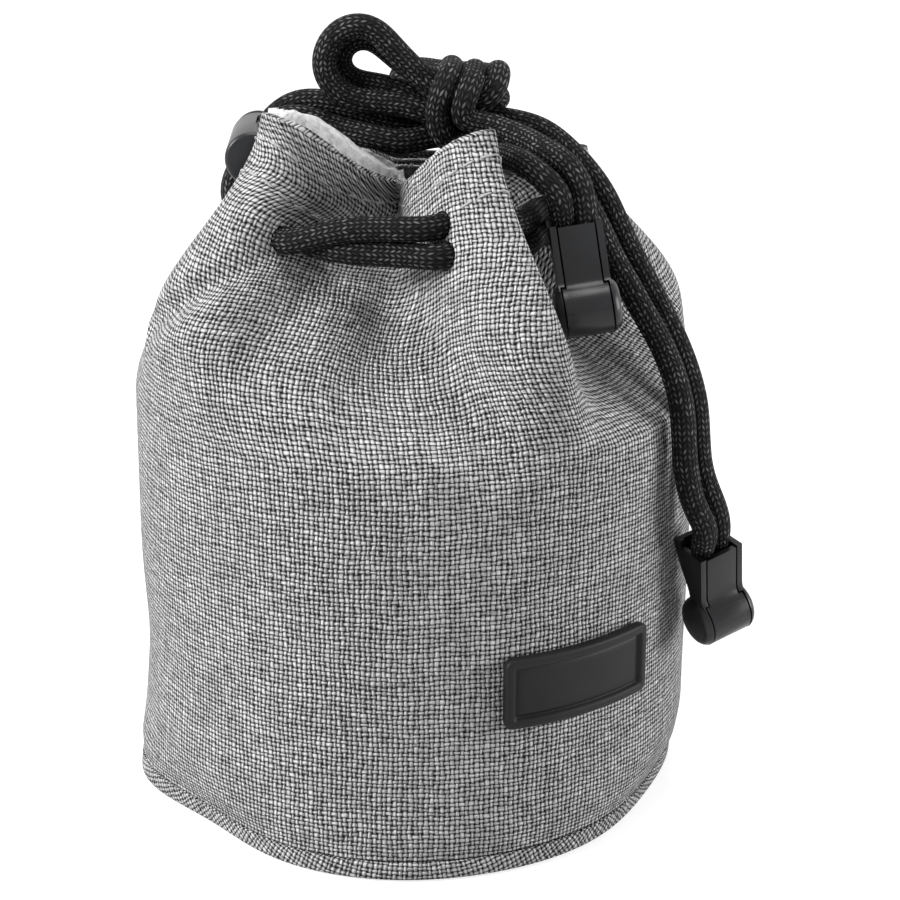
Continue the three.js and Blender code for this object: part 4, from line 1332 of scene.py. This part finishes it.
PLASTIC = dict(
    dark=(0.012, 0.0122, 0.0138), light=(0.019, 0.0195, 0.0215), cloud=160.0, grain=(2600.0, 2.0),
    rough=(0.24, 0.12), dents=(0.02, 0.5), specular=0.3,
)
RUBBER = dict(
    dark=0.004, light=0.009, cloud=90.0, grain=(1500.0, 3.0),
    rough=(0.42, 0.2), dents=(0.03, 0.6), specular=0.2,
)
FINISHES = {
    "cloth": cloth_finish(),
    "cord": cord_finish(),
    "plush": plush_finish(),
    "plastic": moulding_finish("satin_plastic", **PLASTIC),
    "rubber": moulding_finish("moulded_rubber", **RUBBER),
    "foam": plain_finish("foam_sheet", 0.5, 0.66, 900.0, roughness=0.95),
    "board": plain_finish("stiff_board", 0.08, 0.13, 500.0, roughness=0.8),
    "thread": plain_finish("sewing_thread", 0.3, 0.5, 2500.0, roughness=0.7),
    "wire": plain_finish("spring_wire", 0.45, 0.6, 1200.0, roughness=0.35, metallic=0.95),
}
for name, finish in DRESSED.items():
    mesh = bpy.data.objects[name].data
    mesh.materials.clear()
    mesh.materials.append(FINISHES[finish].material)
print("finishes:", len(FINISHES), "pieces:", len(DRESSED))

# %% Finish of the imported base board
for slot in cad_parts["base_board"].material_slots:
    slot.material = FINISHES["board"].material
print("base board has its finish")

# %% [markdown]
# ## Floor and light
# The pouch stands on a white floor in soft studio light, stronger from the upper left. A white sheet behind
# it would do for the background, but its brightness would follow the lamps. Here the floor and the world glow
# only where they are seen, straight or in a reflection, so they are white all over, the floor keeps the
# pouch's shadow, and no more light falls on the cloth.

# %% White floor
GLOW = 0.78
FLOOR_REACH = 4000
FLOOR_DROP = 0.2
FLOOR_TONE = 0.5

corners = [(sx * FLOOR_REACH, sy * FLOOR_REACH, 0) for sx, sy in ((-1, -1), (1, -1), (1, 1), (-1, 1))]
floor = mesh_object("floor", corners, [[0, 1, 2, 3]])
floor.location.z = -FLOOR_DROP * MM


def seen_directly(finish):
    """1 for rays that the camera sees, straight or in a reflection, and 0 for light that falls on a piece."""
    rays = ("Is Camera Ray", "Is Glossy Ray", "Is Transmission Ray")
    straight, mirrored, through = [finish.node("LightPath", {}, {}, ray) for ray in rays]
    return straight.math("MAXIMUM", mirrored).math("MAXIMUM", through)


white = Finish("pale_floor", roughness=0.9, specular_ior_level=0.0, emission_strength=1.0)
white.feed(base_color=(*colour(FLOOR_TONE), 1))
white.feed(emission_color=white.mix(seen_directly(white), (0, 0, 0, 1), (*colour(GLOW), 1)))
floor.data.materials.append(white.material)

# %% White studio behind
AMBIENT = 0.15


class Backdrop(Finish):
    def __init__(self, world):
        world.use_nodes = True
        self.tree = world.node_tree
        self.shader = self.tree.nodes["Background"]


scene.world = bpy.data.worlds.new("studio")
backdrop = Backdrop(scene.world)
backdrop.feed(color=(1, 1, 1, 1), strength=AMBIENT + (1 - AMBIENT) * seen_directly(backdrop))
print("floor and backdrop are white where they are seen")

# %% Lamps
LAMPS = {
    "key_left": dict(place=(-1.15, -0.45, 0.7), size=0.5, power=24),
    "fill_right": dict(place=(1.2, -0.1, 0.3), size=0.6, power=11.5),
    "top": dict(place=(-0.05, 0.0, 1.3), size=0.6, power=8),
}


def hang_lamp(name, place, size, power):
    data = bpy.data.lights.new(name, "AREA")
    data.size = size
    data.energy = power
    lamp = bpy.data.objects.new(name, data)
    lamp.location = place
    lamp.rotation_euler = (AIM - lamp.location).to_track_quat("-Z", "Y").to_euler()
    scene.collection.objects.link(lamp)


for name, settings in LAMPS.items():
    hang_lamp(name, **settings)
scene.view_settings.view_transform = "Standard"
print("lamps:", len(LAMPS))
